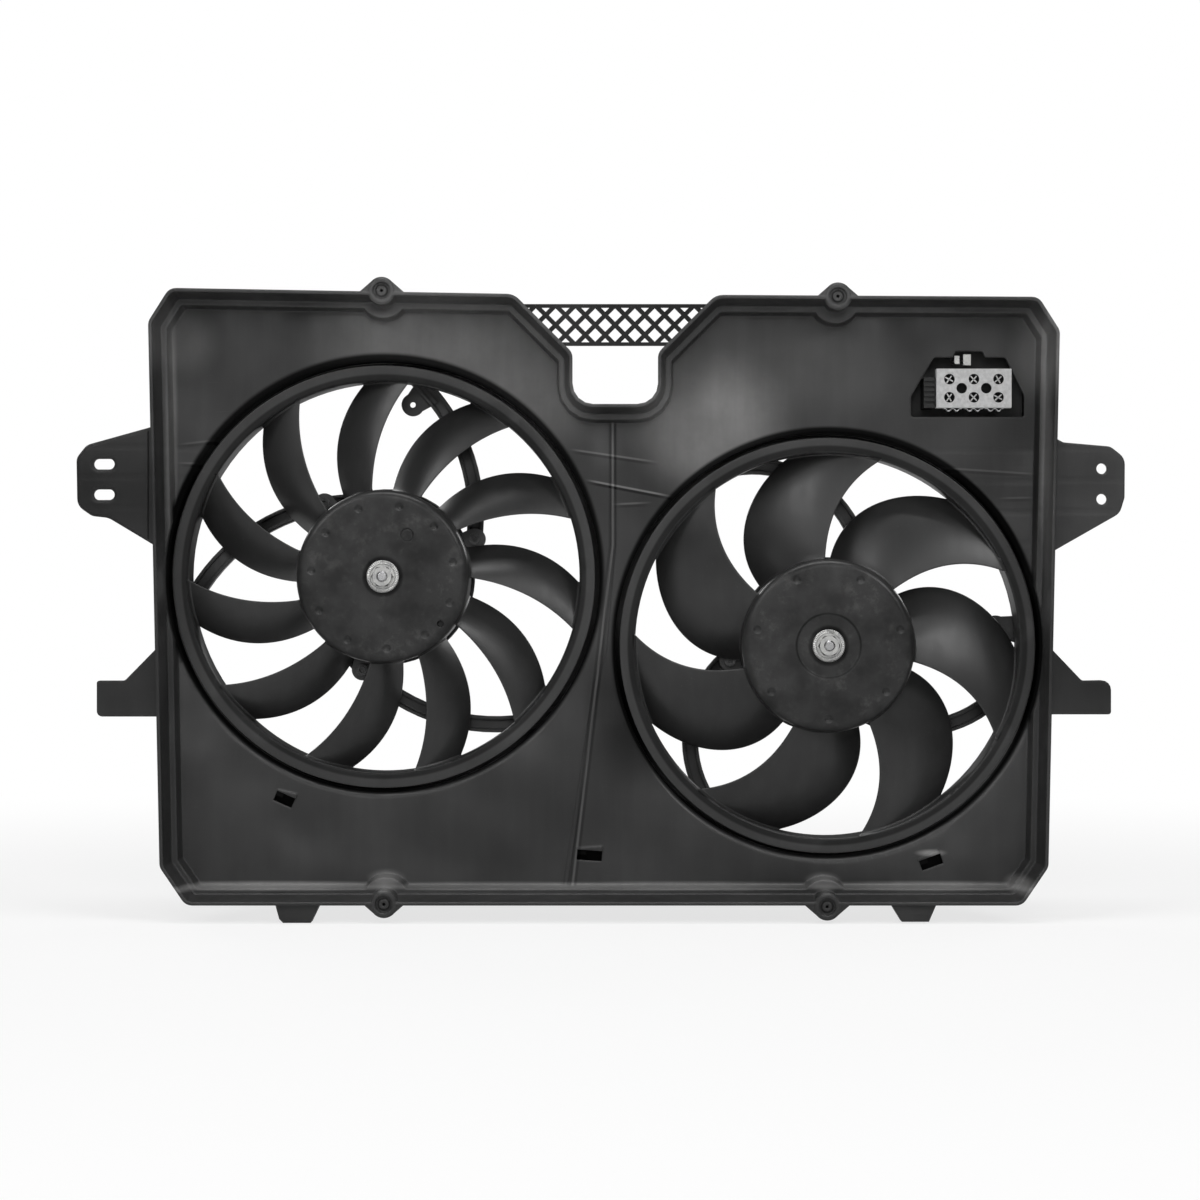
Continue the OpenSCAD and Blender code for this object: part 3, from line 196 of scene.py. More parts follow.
gaps = {  # the gap round a fan: radii where it starts, where it ends and where the shade has faded
    "left": (156 * mm, 163.5 * mm, 167 * mm), "right": (153.5 * mm, 160.5 * mm, 163.5 * mm),
    "raised": 2.2 * mm, "depths": (24 * mm, 33 * mm, 62 * mm, 64 * mm), "shade": 0.93,
}
clipPockets = {"places": ((-236.5, 73.9), (-10.7, 32.4), (242.1, 27.5)), "reach": 13 * mm,
               "depths": (38.2 * mm, 38.5 * mm), "shade": 0.85}
paintedHighlightSpots = (  # painted highlights: across, up, reach across and up in mm, share
    (-129, 408, 100, 46, 0.34), (-55, 365, 52, 40, 0.34), (80, 350, 62, 54, 0.62),  # face between the fans' tops
    (130, 394, 100, 40, 0.12), (12, 418, 34, 28, 0.26), (-314, 412, 30, 28, 0.26), (325, 404, 26, 38, 0.32),
    (242, 34, 12, 3, 0.8),  # above the right clip pocket
    (-245, 10.3, 110, 3.4, 0.7), (-80, 10.3, 100, 3.0, 0.45), (60, 10.3, 120, 3.2, 0.5),  # bottom ledge
    (240, 10.3, 90, 3.4, 0.6),
    (324, 335, 4, 110, 0.42), (-319, 345, 4, 100, 0.40),  # side ledges
    (-161, 15.5, 14, 7, 0.5), (162, 13.5, 14, 7, 0.5),  # lower ears
    (306, 12, 11, 8, 0.5), (-330, 14, 9, 8, 0.35),  # lower corners
)
dimSpots = (  # the same for shade
    (27, 138, 52, 58, 0.62), (-358, 305, 60, 70, 0.40), (300, 318, 44, 80, 0.26), (352, 178, 60, 60, 0.36),
    (60, 395, 22, 60, 0.20), (-352, 165, 50, 50, 0.32), (-120, 60, 240, 60, 0.10), (150, 45, 240, 50, 0.08),
)
creases = (  # lines of painted highlight with painted shade just below: from, to, height at the start in mm, slope, share
    (-21, 34, 331.5, -0.146, 0.30), (-9, 45, 308.6, -0.192, 0.55), (10, 30, 291.5, 0.05, 0.25),
    (241, 316, 318.9, -0.064, 0.16), (-312, -292, 322, -0.03, 0.18), (-312, -286, 336, 0.12, 0.14),
    (296, 316, 296, 0.02, 0.14),
)
# the seam line on the face, drawn as a painted highlight with painted shade beside it
seam = {"across": 6.5 * mm, "bend": 262 * mm, "slope": 0.118, "haze": 0.22, "shade": 0.30}
carrierShade = 0.35


def frontPaintedLight(f, tone, streaks):  # painted highlights and painted shade on the shroud: uneven sheen, crease and seam lines, darkness round the fans, in the clip pockets and deep on the carrier
    depth = f.part(f.place(), "Y")
    wavering = 0.55 + f.noise(30 * mm, 4, 0.65, shift=(0.8, 0.3, 0.1)) * 0.7 + streaks * 0.08
    haze, shade = 0.0, depth.above(66 * mm, 80 * mm) * carrierShade
    for x, z, wide, tall, share in paintedHighlightSpots:
        haze = f.spot(x * mm, z * mm, wide * mm, tall * mm) * share + haze
    for x, z, wide, tall, share in dimSpots:
        shade = f.spot(x * mm, z * mm, wide * mm, tall * mm) * share + shade
    for x, z in clipPockets["places"]:
        near = f.spot(x * mm, z * mm, clipPockets["reach"], clipPockets["reach"]).above(0.1, 0.4)
        shade = near * depth.above(*clipPockets["depths"]) * clipPockets["shade"] + shade

    across, up = (f.part(f.place(), axis) for axis in "XZ")
    onFace = depth.above(34 * mm, 36 * mm)
    for start, end, height, slope, share in creases:
        off = (up - height * mm - (across - start * mm) * slope) / mm
        band = across.above((start - 6) * mm, (start + 6) * mm) * (1 - across.above((end - 8) * mm, (end + 8) * mm))
        band = band * onFace * share
        haze = band * (off.above(-0.3, 0.3) - off.above(0.9, 1.8)) + haze
        shade = band * (off.above(-2.6, -1.6) - off.above(-0.8, 0)) + shade

    # painted highlight on the seam, painted shade on both sides of it
    drop = f.put("ShaderNodeMath", {"operation": "MAXIMUM"}, {0: seam["bend"] - up, 1: 0.0})
    off = f.absolute(across - seam["across"] + drop * seam["slope"]) / mm
    haze = onFace * (1 - off.above(0.3, 1.1)) * seam["haze"] + haze
    shade = onFace * (off.above(0.9, 1.5) - off.above(2.2, 3.6)) * seam["shade"] + shade

    frontStart, frontEnd, rearStart, rearEnd = gaps["depths"]
    for side in fanAxis:
        start, full, end = gaps[side]
        raised = fanAxis[side] + Vector((0, 0, gaps["raised"]))  # the gap looks wider above the fan
        ring = f.reach(fanAxis[side]).above(start - mm, start)
        ring = ring * (1 - f.reach(raised).above(full - gaps["raised"], end - gaps["raised"]))
        ring = ring * depth.above(frontStart, frontEnd) * (1 - depth.above(rearStart, rearEnd))
        shade = ring * gaps["shade"] + shade

    front = 1 - f.facing("Y").above(0.3, 0.6)
    shade = shade * front
    # painted highlights lighten the tone toward a pale grey; painted shade mixes in a dark surface
    return f.blend((haze * wavering * front).clamped(), tone, grey(0.30, 0.01)), shade.clamped()


hub = {"edge": (61 * mm, 63 * mm), "dust": 0.55, "handling": 0.55, "dull": 0.16, "handledDull": 0.22,
       "soot": (13.5 * mm, 16 * mm), "sootShade": 0.5}
bandGroove = {"left": (145.2 * mm, 150 * mm), "right": (143.6 * mm, 148.2 * mm), "shade": 0.6}


def fanDirtAndShade(f, tone, streaks):  # dusty, blotched hubs, darker round the washer, and painted shade in a groove inside each band
    blotches = f.noise(13 * mm, 5, 0.72, shift=(0.2, 0.5, 0.4))
    handled = f.noise(26 * mm, 3, 0.6, shift=(0.7, 0.1, 0.9)).above(0.35, 0.7)
    shade = 0.0
    for side in fanAxis:
        start, end = bandGroove[side]
        span = f.reach(fanAxis[side])
        onHub = 1 - span.above(*hub["edge"])
        tone = f.blend(onHub * blotches.above(0.50, 0.72) * hub["dust"], tone, grey(0.085, 0.02))
        tone = f.blend(onHub * handled * hub["handling"], tone, grey(0.009))
        shade = onHub * (hub["dull"] + handled * hub["handledDull"]) + shade
        # painted shade in the groove inside the band
        groove = span.above(start - mm, start + mm) * (1 - span.above(end - mm, end + mm))
        shade = groove * bandGroove["shade"] + shade
        # darker round the washer
        shade = (1 - span.above(*hub["soot"])) * hub["sootShade"] + shade
    return tone, (shade * (1 - f.facing("Y").above(0.3, 0.6))).clamped()


plasticNoise = {
    "clouds": {"size": 70 * mm, "detail": 3, "rough": 0.55, "cut": (0.30, 0.72)},
    "streaks": {"size": 9 * mm, "detail": 3, "rough": 0.6, "stretch": (1, 1, 0.12), "shift": (0.3, 0, 0.1),
                "cut": (0.35, 0.75)},
    "smears": {"size": 38 * mm, "detail": 4, "rough": 0.65, "stretch": (0.55, 1, 1), "shift": (0.1, 0.7, 0.2),
               "cut": (0.42, 0.70)},
    "dust": {"size": 1.3 * mm, "detail": 1, "rough": 0.4, "shift": (0.6, 0.2, 0.9), "cut": (0.70, 0.80)},
    "scuffs": {"size": 1.1 * mm, "detail": 2, "rough": 0.5, "stretch": (0.06, 1, 1), "shift": (0.9, 0.1, 0.4),
               "cut": (0.69, 0.76)},
    "swell": {"size": 95 * mm, "detail": 1, "rough": 0.4, "shift": (0.4, 0.2, 0.6)},
}
plasticMix = {"clouds": 0.75, "streaks": 0.25, "dust": 0.22, "scuffs": 0.10, "worn": 0.6,
              "dustTone": grey(0.085, 0.04)}
plasticSheen = {"smears": 0.09, "grain": 0.06, "streaks": 0.05, "scuffs": 0.05}  # the last two smooth the surface


def mouldedPlastic(name, look, tones=None, sides=()):  # black plastic: cloudy tone, streaks, grain, rubbed edges
    f, mix, sheen = Finish(name), plasticMix, plasticSheen
    soft = f.rounded(look["edgeRadius"])
    clouds, streaks, smears, dust, scuffs, swell = f.layers(plasticNoise)
    grain = f.noise(look["grain"], 2, 0.6)
    warped = f.bump(swell, look["swell"], 1.0, soft)
    if sides:
        warped = f.bump(1 - sinkLines(f, sides), look["sink"], 1.0, warped)
    tone = f.blend(clouds * mix["clouds"] + streaks * mix["streaks"], grey(look["dark"]), grey(look["light"]))
    tone = f.blend(dust * mix["dust"] + scuffs * mix["scuffs"], tone, mix["dustTone"])
    tone = f.blend(f.edges(soft) * mix["worn"], tone, grey(look["worn"]))
    rough = look["roughness"] + smears * sheen["smears"] + grain * sheen["grain"]
    rough = rough - streaks * sheen["streaks"] - scuffs * sheen["scuffs"]
    shade = None
    # painted highlights and painted shade, where a function for them is given
    if tones:
        tone, shade = tones(f, tone, streaks)
    return f.shader({"Specular IOR Level": look["specular"]}, shade, Base_Color=tone, Roughness=rough,
                    Normal=f.bump(grain + clouds * 0.4, look["grainDepth"], 1.0, warped))


metalLook = {"tint": (0.60, 0.60, 0.58, 1), "shade": (0.42, 0.42, 0.42, 1), "bright": grey(0.82), "roughness": 0.28,
             "spangle": 1.1 * mm, "patch": 6, "edgeRadius": 0.25 * mm, "scratches": 0.25 * mm,
             "scratchDepth": 0.006 * mm}


def platedSteel(name, look):  # plated or ground steel: patchy plating, fine scratches, brighter edges
    f = Finish(name)
    soft = f.rounded(look["edgeRadius"])
    patches = f.noise(look["spangle"] * look["patch"], 3, 0.6, cut=(0.32, 0.70))
    cells = {"Vector": f.place(), "Scale": 1 / look["spangle"]}
    grains = f.put("ShaderNodeTexVoronoi", {"feature": "F1"}, cells, out="Distance")
    scratches = f.noise(look["scratches"], 2, 0.5, stretch=(1, 0.15, 1))
    tone = f.blend(patches * 0.7 + grains * 0.3, look["tint"], look["shade"])
    tone = f.blend(f.edges(soft) * 0.35, tone, look["bright"])
    rough = look["roughness"] + patches * 0.12 + scratches * 0.10
    return f.shader({"Metallic": 1.0}, Base_Color=tone, Roughness=rough,
                    Normal=f.bump(scratches + grains * 0.5, look["scratchDepth"], 0.6, soft))


shellLook = {"dark": grey(0.045), "light": grey(0.070), "worn": grey(0.16), "roughness": 0.34,
             "edgeRadius": 0.6 * mm, "peelDepth": 0.02 * mm}
shellNoise = {
    "peel": {"size": 0.9 * mm, "detail": 2, "rough": 0.5},
    "runs": {"size": 14 * mm, "detail": 3, "rough": 0.6, "stretch": (1, 0.2, 1), "cut": (0.35, 0.75)},
    "specks": {"size": 0.7 * mm, "detail": 1, "rough": 0.4, "shift": (0.2, 0.4, 0.1), "cut": (0.66, 0.74)},
}


def coatedShell(name, look):  # dark coated sheet steel with an orange-peel skin
    f = Finish(name)
    soft = f.rounded(look["edgeRadius"])
    peel, runs, specks = f.layers(shellNoise)
    tone = f.blend(runs, look["dark"], look["light"])
    tone = f.blend(specks * 0.3 + f.edges(soft) * 0.5, tone, look["worn"])
    return f.shader({}, Base_Color=tone, Roughness=look["roughness"] + runs * 0.08 + peel * 0.05,
                    Normal=f.bump(peel, look["peelDepth"], 0.8, soft))


sheetLook = {"pitch": 0.6 * mm, "waver": 0.3, "dark": grey(0.20), "light": grey(0.34), "roughness": 0.42,
             "rustTone": (0.20, 0.11, 0.06, 1),
             "rust": {"size": 4 * mm, "detail": 4, "rough": 0.7, "cut": (0.52, 0.75)}}


def stackedSheet(name, look):  # thin sheets stacked along the shaft
    f = Finish(name)
    sheets, rust = f.bands("Y", look), f.noise(**look["rust"])
    tone = f.blend(sheets, look["dark"], look["light"])
    tone = f.blend(rust * 0.35, tone, look["rustTone"])
    return f.shader({"Metallic": 0.9}, Base_Color=tone, Roughness=look["roughness"] + rust * 0.25,
                    Normal=f.bump(sheets, 0.05 * mm, 0.7))


wireLook = {"pitch": 0.9 * mm, "waver": 1.2, "dark": (0.32, 0.10, 0.035, 1), "light": (0.62, 0.26, 0.11, 1),
            "roughness": 0.26, "varnishTone": (0.36, 0.13, 0.05, 1),
            "varnish": {"size": 3 * mm, "detail": 3, "rough": 0.6, "cut": (0.35, 0.7)}}


def woundCopper(name, look):  # lacquered wire, close turns
    f = Finish(name)
    turns, varnish = f.bands("X", look), f.noise(**look["varnish"])
    tone = f.blend(turns, look["dark"], look["light"])
    tone = f.blend(varnish * 0.4, tone, look["varnishTone"])
    return f.shader({"Metallic": 0.85}, Base_Color=tone, Roughness=look["roughness"] + varnish * 0.14,
                    Normal=f.bump(turns, 0.12 * mm, 0.8))


def dullBlock(name, dark, light, size, roughness):  # pressed powder: ferrite, carbon or card
    f = Finish(name)
    soft = f.rounded(0.35 * mm)
    clouds = f.noise(size * 9, 3, 0.6, cut=(0.30, 0.72))
    powder = f.noise(size, 3, 0.65)
    marks = f.noise(size * 3.1, 2, 0.5, shift=(0.5, 0.1, 0.7), cut=(0.62, 0.74))
    tone = f.blend(clouds * 0.6 + powder * 0.4, dark, light)
    tone = f.blend(marks * 0.3, tone, tuple(c * 0.55 for c in dark[:3]) + (1,))
    return f.shader({}, Base_Color=tone, Roughness=roughness + powder * 0.15,
                    Normal=f.bump(powder, 0.05 * mm, 0.9, soft))


blockLook = {"dark": grey(0.46), "light": grey(0.66), "stain": grey(0.24), "edge": grey(0.72), "bore": grey(0.012),
             "roughness": 0.46, "edgeRadius": 0.5 * mm, "rim": 1.2 * mm, "soot": (0.3 * mm, 1.1 * mm),
             "powderDepth": 0.05 * mm}
blockNoise = {
    "clouds": {"size": 3.2 * mm, "detail": 3, "rough": 0.6, "cut": (0.30, 0.72)},
    "powder": {"size": 0.35 * mm, "detail": 3, "rough": 0.65},
    "stains": {"size": 2.1 * mm, "detail": 3, "rough": 0.6, "shift": (0.5, 0.1, 0.7), "cut": (0.58, 0.72)},
}


def blockWithBores(name, node, look):  # light block whose bores are painted dark inside as painted shade
    f = Finish(name)
    low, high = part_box(node)
    soft = f.rounded(look["edgeRadius"])
    x, y, z = (f.part(f.place(), axis) for axis in "XYZ")
    rim, (start, end) = look["rim"], look["soot"]
    inside = x.above(low.x + rim, low.x + 1.2 * rim) * (1 - x.above(high.x - 1.2 * rim, high.x - rim))
    inside = inside * z.above(low.z + rim, low.z + 1.2 * rim) * (1 - z.above(high.z - 1.2 * rim, high.z - rim))
    # painted shade inside the bores, from a little below the block's front
    paintedBoreShade = inside * y.above(low.y + start, low.y + end)
    clouds, powder, stains = f.layers(blockNoise)
    tone = f.blend(clouds * 0.6 + powder * 0.4, look["dark"], look["light"])
    tone = f.blend(stains * 0.30, tone, look["stain"])
    tone = f.blend(f.edges(soft) * 0.4, tone, look["edge"])
    tone = f.blend(paintedBoreShade, tone, look["bore"])
    return f.shader({}, Base_Color=tone, Roughness=look["roughness"] + powder * 0.15 + paintedBoreShade * 0.3,
                    Normal=f.bump(powder - stains * 0.6, look["powderDepth"], 0.9, soft))


brassLook = {"clean": (0.72, 0.52, 0.22, 1), "dull": (0.40, 0.25, 0.10, 1), "roughness": 0.24,
             "edgeRadius": 0.15 * mm, "rollingDepth": 0.01 * mm}
brassNoise = {
    "rolling": {"size": 0.3 * mm, "detail": 2, "rough": 0.5, "stretch": (1, 0.08, 1)},
    "tarnish": {"size": 5 * mm, "detail": 4, "rough": 0.65, "cut": (0.45, 0.75)},
}


def rolledBrass(name, look):  # rolled strip, tarnished in patches
    f = Finish(name)
    soft = f.rounded(look["edgeRadius"])
    rolling, tarnish = f.layers(brassNoise)
    tone = f.blend(tarnish * 0.6, look["clean"], look["dull"])
    return f.shader({"Metallic": 1.0}, Base_Color=tone,
                    Roughness=look["roughness"] + tarnish * 0.2 + rolling * 0.08,
                    Normal=f.bump(rolling, look["rollingDepth"], 0.5, soft))


ribSides = (  # side, height of the first rib, pitch, count, start across
    (-1, 266.7 * mm, 22.2 * mm, 4, 215 * mm), (1, 263 * mm, 23 * mm, 4, 235 * mm),
)
grilleLook = {**mouldedLook, "dark": 0.006, "light": 0.012, "specular": 0.22, "edgeRadius": 0.5 * mm}
fanLook = {**mouldedLook, "roughness": 0.33, "edgeRadius": 1.4 * mm, "swell": 3 * mm}
plugLook = {**mouldedLook, "roughness": 0.42, "dark": 0.010, "light": 0.018, "edgeRadius": 0.4 * mm}
shroudBlack = mouldedPlastic("shroudBlack", mouldedLook, frontPaintedLight, ribSides)
grilleBlack = mouldedPlastic("grilleBlack", grilleLook)
fanBlack = mouldedPlastic("fanBlack", fanLook, fanDirtAndShade)
plugBlack = mouldedPlastic("plugBlack", plugLook)
# the resistor housing: a darker copy of plugBlack, painted shade of the recess it sits in
housingBlack = mouldedPlastic("housingBlack", {**plugLook, "roughness": 0.5, "dark": 0.004, "light": 0.010})
zincSteel = platedSteel("zincSteel", metalLook)
dimSteel = platedSteel("dimSteel", {**metalLook, "roughness": 0.40, "tint": grey(0.11), "shade": grey(0.06)})
groundSteel = platedSteel("groundSteel", {**metalLook, "roughness": 0.18, "tint": (0.55, 0.55, 0.56, 1)})
springSteel = platedSteel("springSteel", {**metalLook, "roughness": 0.22, "tint": (0.70, 0.70, 0.70, 1)})
motorShell = coatedShell("motorShell", shellLook)
coreSheets = stackedSheet("coreSheets", sheetLook)
copperWire = woundCopper("copperWire", wireLook)
ferrite = dullBlock("ferrite", grey(0.05), grey(0.09), 0.4 * mm, 0.55)
brushCard = dullBlock("brushCard", (0.20, 0.12, 0.06, 1), (0.30, 0.19, 0.10, 1), 0.5 * mm, 0.5)
carbon = dullBlock("carbon", grey(0.02), grey(0.05), 0.3 * mm, 0.45)
resistorGrey = blockWithBores("resistorGrey", "resistor_block", blockLook)
terminalBrass = rolledBrass("terminalBrass", brassLook)
print("finishes made")

nodeFinish = {
    "shroud": shroudBlack, "notch_grille": grilleBlack, "fan": fanBlack, "motor_socket": plugBlack,
    "resistor_housing": housingBlack, "fan_washer": zincSteel, "fan_nut": zincSteel, "shaft": groundSteel,
    "motor_screws": dimSteel, "resistor_screws": zincSteel, "resistor_terminals": zincSteel,
    "bearing": groundSteel, "motor_can": motorShell, "motor_plate": motorShell, "armature": coreSheets,
    "winding": copperWire,
    "commutator": copperWire, "magnets": ferrite, "brush_plate": brushCard, "brushes": carbon,
    "motor_terminals": terminalBrass, "resistor_block": resistorGrey, "resistor_contacts": springSteel,
}
for node, piece in frame["nodes"].items():
    short = node.replace("left_", "").replace("right_", "").replace("front_", "").replace("rear_", "")
    piece.data.materials.clear()
    piece.data.materials.append(nodeFinish[short])


def openMoulding(node):  # a joined copy of a node's mesh, ready for more shaping
    mesh = frame["nodes"][node].data.copy()
    if "custom_normal" in mesh.attributes:
        mesh.attributes.remove(mesh.attributes["custom_normal"])
    shell = bmesh.new()
    shell.from_mesh(mesh)
    bmesh.ops.remove_doubles(shell, verts=shell.verts, dist=0.002 * mm)
    return shell


def newPiece(shape, name, body, finish, creaseDegrees=0):
    bmesh.ops.recalc_face_normals(shape, faces=shape.faces)
    for face in shape.faces:
        face.smooth = creaseDegrees > 0
    for edge in shape.edges:
        edge.smooth = edge.calc_face_angle(0) < math.radians(creaseDegrees)
    mesh = bpy.data.meshes.new(name)
    shape.to_mesh(mesh)
    shape.free()
    mesh.materials.append(finish)
    piece = bpy.data.objects.new(name, mesh)
    bpy.context.scene.collection.objects.link(piece)
    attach(piece, body)
    return piece


shroudMoulding = newPiece(openMoulding("shroud"), "shroudMoulding", "frame", shroudBlack, 24)
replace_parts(shroudMoulding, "shroud")

fanShape = {  # turns of the blades' edges in degrees, their depths behind the hub's front in mm
    "left": {"blades": 11, "lead": (97.5, -10.3, -4.5), "trail": (117.8, -9, -12.5), "edges": (8, 35, 16.5, 35),
             "tip": 145},
    "right": {"blades": 7, "lead": (92, -6, -12), "trail": (138.5, -12, -25), "edges": (6, 36, 15.5, 38),
              "tip": 142.5},
}
bladeShape = {"root": 64, "hubFront": 27, "thick": 3, "camber": 0.5, "edgeThick": 0.35, "rootThick": 1.15,
              "thinning": 0.3, "stations": 36, "across": 18, "buried": 1.2, "fillet": 0.9, "filletRoot": 0.025,
              "filletTip": 0.02}
balanceHole = {"out": 55, "degrees": -39.2, "floor": 31, "radius": 2.4 * mm}  # only in the left hub


def bladePoint(shape, along, column):  # a point of the blade's skin, in millimetres about the fan's axis
    b, last = bladeShape, bladeShape["across"] - 1
    back = column > last
    step = 2 * last - column if back else column
    inner = 0 < step < last  # both faces meet at the blade's edges
    chord = 0.5 - 0.5 * math.cos(math.pi * step / last)
    over = b["buried"] / (shape["tip"] - b["root"])
    span = -over + (1 + 2 * over) * along
    radius = b["root"] + (shape["tip"] - b["root"]) * span
    lead, trail = (a + c * span + d * span * span for a, c, d in (shape["lead"], shape["trail"]))
    leadRoot, trailRoot, leadTip, trailTip = shape["edges"]
    front = leadRoot + (leadTip - leadRoot) * span
    fall = trailRoot + (trailTip - trailRoot) * span - front
    arc = radius * math.radians(trail - lead)
    slope = fall * (1 - b["camber"] + 2 * b["camber"] * chord)
    half = b["thick"] / 2 * (b["edgeThick"] + (1 - b["edgeThick"]) * math.sin(math.pi * chord)) * inner
    half *= b["rootThick"] - b["thinning"] * span
    nearRoot, nearTip = max(0, 1 - span / b["filletRoot"]), max(0, 1 - (1 - span) / b["filletTip"])
    half += b["fillet"] * (nearRoot ** 2 + nearTip ** 2) * inner
    half *= 1 if back else -1
    run = math.hypot(arc, slope)
    sunk = fall * ((1 - b["camber"]) * chord + b["camber"] * chord * chord)
    depth = b["hubFront"] + front + sunk + half * arc / run
    angle = math.radians(lead + (trail - lead) * chord) - half * slope / run / radius
    return Vector((radius * math.cos(angle), depth, radius * math.sin(angle)))


def isBlade(face, axis, tip):  # between hub and band, or on the band's inside where a blade ends
    out = face.calc_center_median() - axis
    out.y = 0
    radius = out.length / mm
    sideways = abs(face.normal.dot(out.normalized())) < 0.7
    between = bladeShape["root"] + 0.03 < radius < tip - 0.5
    return between or (100 < radius < tip + 0.05 and sideways)


def smoothFan(side):  # the node's hub and band, with the same blades drawn finer
    shape, axis, node = fanShape[side], Vector((fanAxis[side].x, 0, fanAxis[side].z)), side + "_fan"
    shell = openMoulding(node)
    rough = [face for face in shell.faces if isBlade(face, axis, shape["tip"])]
    bmesh.ops.delete(shell, geom=rough, context="FACES")
    rows, columns = bladeShape["stations"], 2 * (bladeShape["across"] - 1)
    for k in range(shape["blades"]):
        turn = Matrix.Rotation(-2 * math.pi * k / shape["blades"], 4, "Y")
        grid = bmesh.ops.create_grid(shell, x_segments=rows, y_segments=columns, size=1)["verts"]
        for vert in grid:
            point = bladePoint(shape, (vert.co.x + 1) / 2, round((vert.co.y + 1) / 2 * columns))
            vert.co = axis + turn @ (point * mm)
        bmesh.ops.remove_doubles(shell, verts=grid, dist=0.001 * mm)
    if side == "left":
        turn, out = math.radians(balanceHole["degrees"]), balanceHole["out"]
        middle = Vector((out * math.cos(turn), balanceHole["floor"], out * math.sin(turn)))
        floor = Matrix.Translation(axis + middle * mm) @ Matrix.Rotation(math.pi / 2, 4, "X")
        bmesh.ops.create_circle(shell, cap_ends=True, segments=24, radius=balanceHole["radius"], matrix=floor)
    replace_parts(newPiece(shell, side + "FanMoulding", side + "_rotor", fanBlack, 32), node)


for side in fanAxis:
    smoothFan(side)
print("mouldings dressed")


washerCuts = {"steps": 96, "hole": 4.2 * mm, "seat": 0.45 * mm, "rimWidth": 2.6 * mm, "tooth": 0.5 * mm,
              "chamfer": 0.6 * mm, "slope": 0.4 * mm}


def serratedWasher(side):  # a toothed rim round a sunk seat
    node = side + "_fan_washer"
    low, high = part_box(node)
    axis = fanAxis[side]
    outer = (high.x - low.x) / 2
    inner = outer - washerCuts["rimWidth"]
    seat, chamfer = low.y + washerCuts["seat"], washerCuts["chamfer"]
    profile = [(washerCuts["hole"], high.y), (outer, high.y), (outer, low.y + chamfer), (outer - chamfer, low.y),
               (inner, low.y), (inner - washerCuts["slope"], seat), (washerCuts["hole"], seat)]
    shape = bmesh.new()
    corners = [shape.verts.new((axis.x + r, y, axis.z)) for r, y in profile]
    sides = [shape.edges.new((corners[k - 1], corners[k])) for k in range(len(corners))]
    bmesh.ops.spin(shape, geom=corners + sides, cent=(axis.x, 0, axis.z), axis=(0, 1, 0), angle=2 * math.pi,
                   steps=washerCuts["steps"], use_merge=True)
    bmesh.ops.remove_doubles(shape, verts=shape.verts, dist=0.001 * mm)
    for vert in shape.verts:
        arm = Vector((vert.co.x - axis.x, 0, vert.co.z - axis.z))
        turn = round(math.atan2(arm.z, arm.x) / (2 * math.pi) * washerCuts["steps"])
        if arm.length > inner and turn % 2 and vert.co.y < high.y - 0.1 * mm:
            vert.co.y += washerCuts["tooth"] * (0.6 if arm.length > outer - 0.1 * mm else 1)
    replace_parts(newPiece(shape, side + "SerratedWasher", side + "_rotor", zincSteel), node)


for side in fanAxis:
    serratedWasher(side)

crossSize = {"length": 6.6 * mm, "width": 0.9 * mm, "thick": 0.5 * mm, "sunk": 2.2 * mm, "across": 18.1 * mm,
             "up": 6.7 * mm, "turns": (45, -48), "twists": (17, 7)}


def socketCrosses():  # crossed spring leaves in the six outer bores of the resistor block
    low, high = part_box("resistor_block")
    shape = bmesh.new()
    for column in (-1, 0, 1):
        for row in (-1, 1):
            spot = ((low.x + high.x) / 2 + column * crossSize["across"], low.y + crossSize["sunk"],
                    (low.z + high.z) / 2 + row * crossSize["up"])
            first, second = crossSize["turns"]
            wide, small = crossSize["twists"]
            for turn in (first + wide * column * row, second + small * column):
                leaf = Matrix.Translation(spot) @ Matrix.Rotation(math.radians(turn), 4, "Y")
                size = Matrix.Diagonal((crossSize["length"], crossSize["thick"], crossSize["width"], 1))
                bmesh.ops.create_cube(shape, size=1, matrix=leaf @ size)
    newPiece(shape, "socketCrosses", "frame", springSteel)


socketCrosses()
print("washers and sockets made")


studio = {"floorSize": 30.0, "floorDrop": 0.5 * mm, "camera": (-2.9 * mm, -2.2, 221.2 * mm),
          "viewWidth": 873.2 * mm, "sensor": 36.0, "ambient": 0.10, "aim": (0, 0.03, 0.22)}


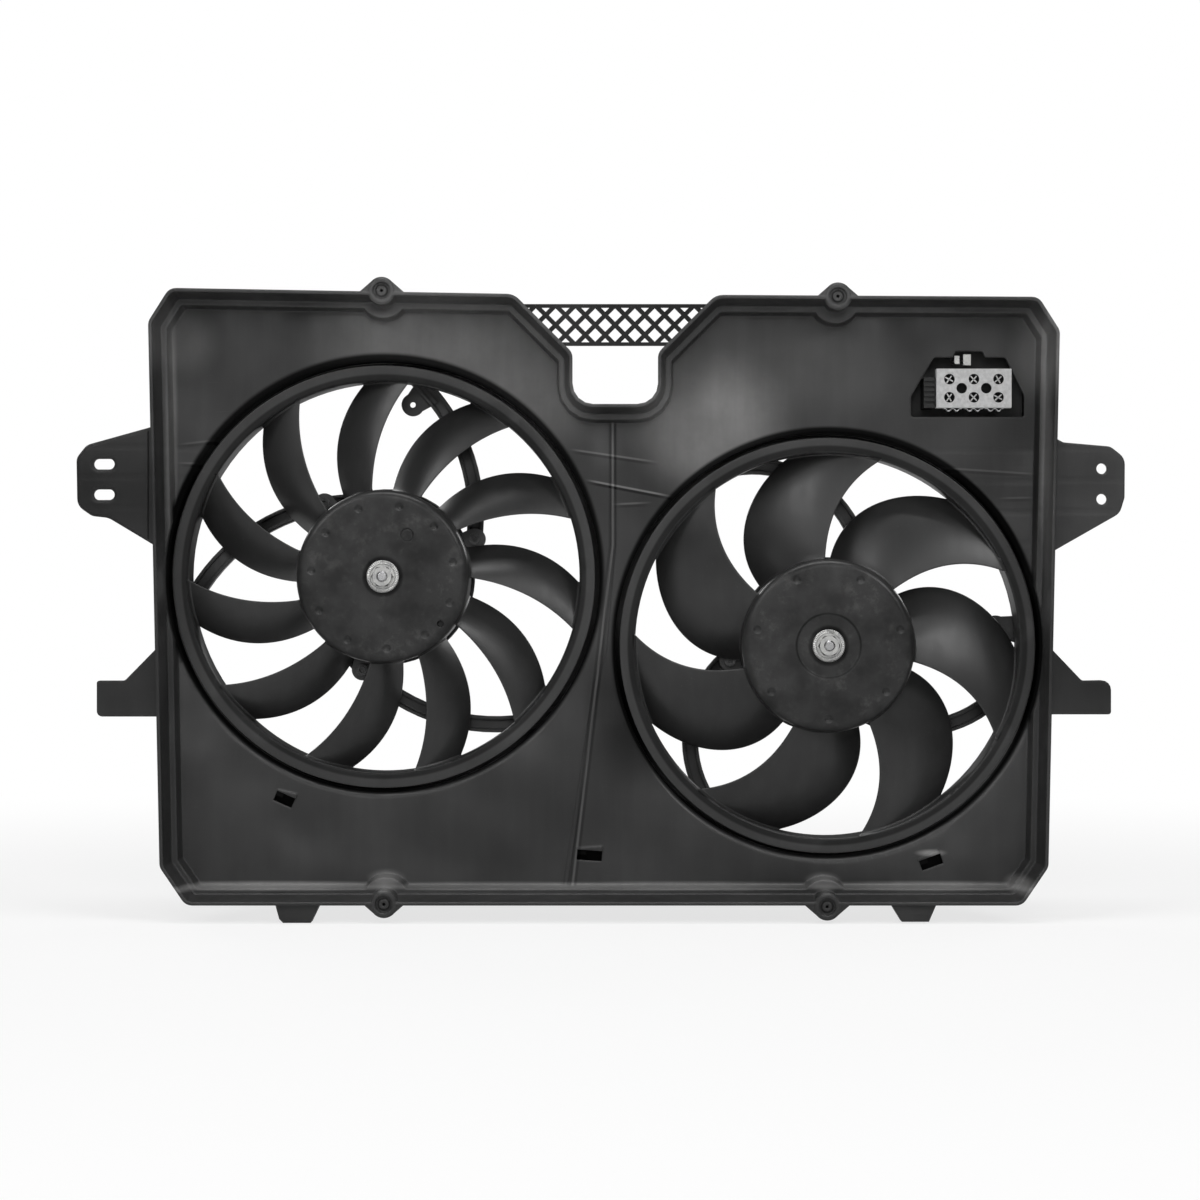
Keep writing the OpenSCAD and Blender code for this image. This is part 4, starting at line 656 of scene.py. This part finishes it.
def makeFloor():
    f = Finish("floorWhite")
    bright = f.put("ShaderNodeEmission", {}, {"Color": (1, 1, 1, 1), "Strength": 1.0})
    matt = f.put("ShaderNodeBsdfDiffuse", {}, {"Color": (0.86, 0.86, 0.86, 1), "Roughness": 0.5})
    away = f.size(f.place((1, 1, 0))).above(0.5, 1.6)
    seen = f.put("ShaderNodeLightPath", out="Is Camera Ray")
    share = 1 - seen * (0.72 + away * 0.28)
    surface = f.put("ShaderNodeMixShader", {}, {0: share, 1: bright, 2: matt})
    f.put("ShaderNodeOutputMaterial", {}, {"Surface": surface})
    sheet = bmesh.new()
    bmesh.ops.create_grid(sheet, x_segments=1, y_segments=1, size=studio["floorSize"] / 2)
    bmesh.ops.translate(sheet, verts=sheet.verts, vec=(0, 0, cadLow.z - studio["floorDrop"]))
    mesh = bpy.data.meshes.new("floor")
    sheet.to_mesh(mesh)
    sheet.free()
    mesh.materials.append(f.material)
    floor = bpy.data.objects.new("floor", mesh)
    bpy.context.scene.collection.objects.link(floor)


def softBox(name, place, aim, size, watts):
    lamp = bpy.data.lights.new(name, "AREA")
    lamp.shape, lamp.size, lamp.size_y, lamp.energy = "RECTANGLE", size[0], size[1], watts
    holder = bpy.data.objects.new(name, lamp)
    holder.location = place
    holder.rotation_euler = (Vector(aim) - Vector(place)).to_track_quat("-Z", "Y").to_euler()
    bpy.context.scene.collection.objects.link(holder)


def lightWorld():
    world = bpy.data.worlds.new("studio")
    bpy.context.scene.world = world
    f = Finish("studio", world)
    seen = f.put("ShaderNodeLightPath", out="Is Camera Ray")
    around = f.put("ShaderNodeBackground", {}, {"Color": (1, 1, 1, 1), "Strength": studio["ambient"]})
    white = f.put("ShaderNodeBackground", {}, {"Color": (1, 1, 1, 1), "Strength": 1.0})
    pick = f.put("ShaderNodeMixShader", {}, {0: seen, 1: around, 2: white})
    f.put("ShaderNodeOutputWorld", {}, {"Surface": pick})


makeFloor()
lamps = {  # place, size in metres, watts
    "upperRight": ((1.37, -1.71, 1.59), (0.9, 0.9), 15.4),
    "upperLeft": ((-1.37, -1.71, 1.59), (0.9, 0.9), 14.5),
    "overCamera": ((0.0, -2.38, 1.19), (0.9, 0.9), 6.5),
    "nearCamera": ((0.0, -2.53, 0.67), (0.9, 0.9), 3.5),
    "above": ((0.0, -0.45, 2.2), (1.6, 0.4), 19),
    "behindLeft": ((-1.4, 1.9, 1.3), (1.0, 1.0), 16),
    "behindRight": ((1.5, 1.7, 1.0), (1.0, 1.0), 12),
}
for name, (place, size, watts) in lamps.items():
    softBox(name, place, studio["aim"], size, watts)
lightWorld()

camera = bpy.data.objects.new("camera", bpy.data.cameras.new("camera"))
camera.data.sensor_width = studio["sensor"]
camera.data.lens = studio["sensor"] * -studio["camera"][1] / studio["viewWidth"]
camera.location = studio["camera"]
camera.rotation_euler = (math.radians(90), 0, 0)
bpy.context.scene.collection.objects.link(camera)
bpy.context.scene.camera = camera
bpy.context.scene.view_settings.view_transform = "Standard"
print("studio lit")
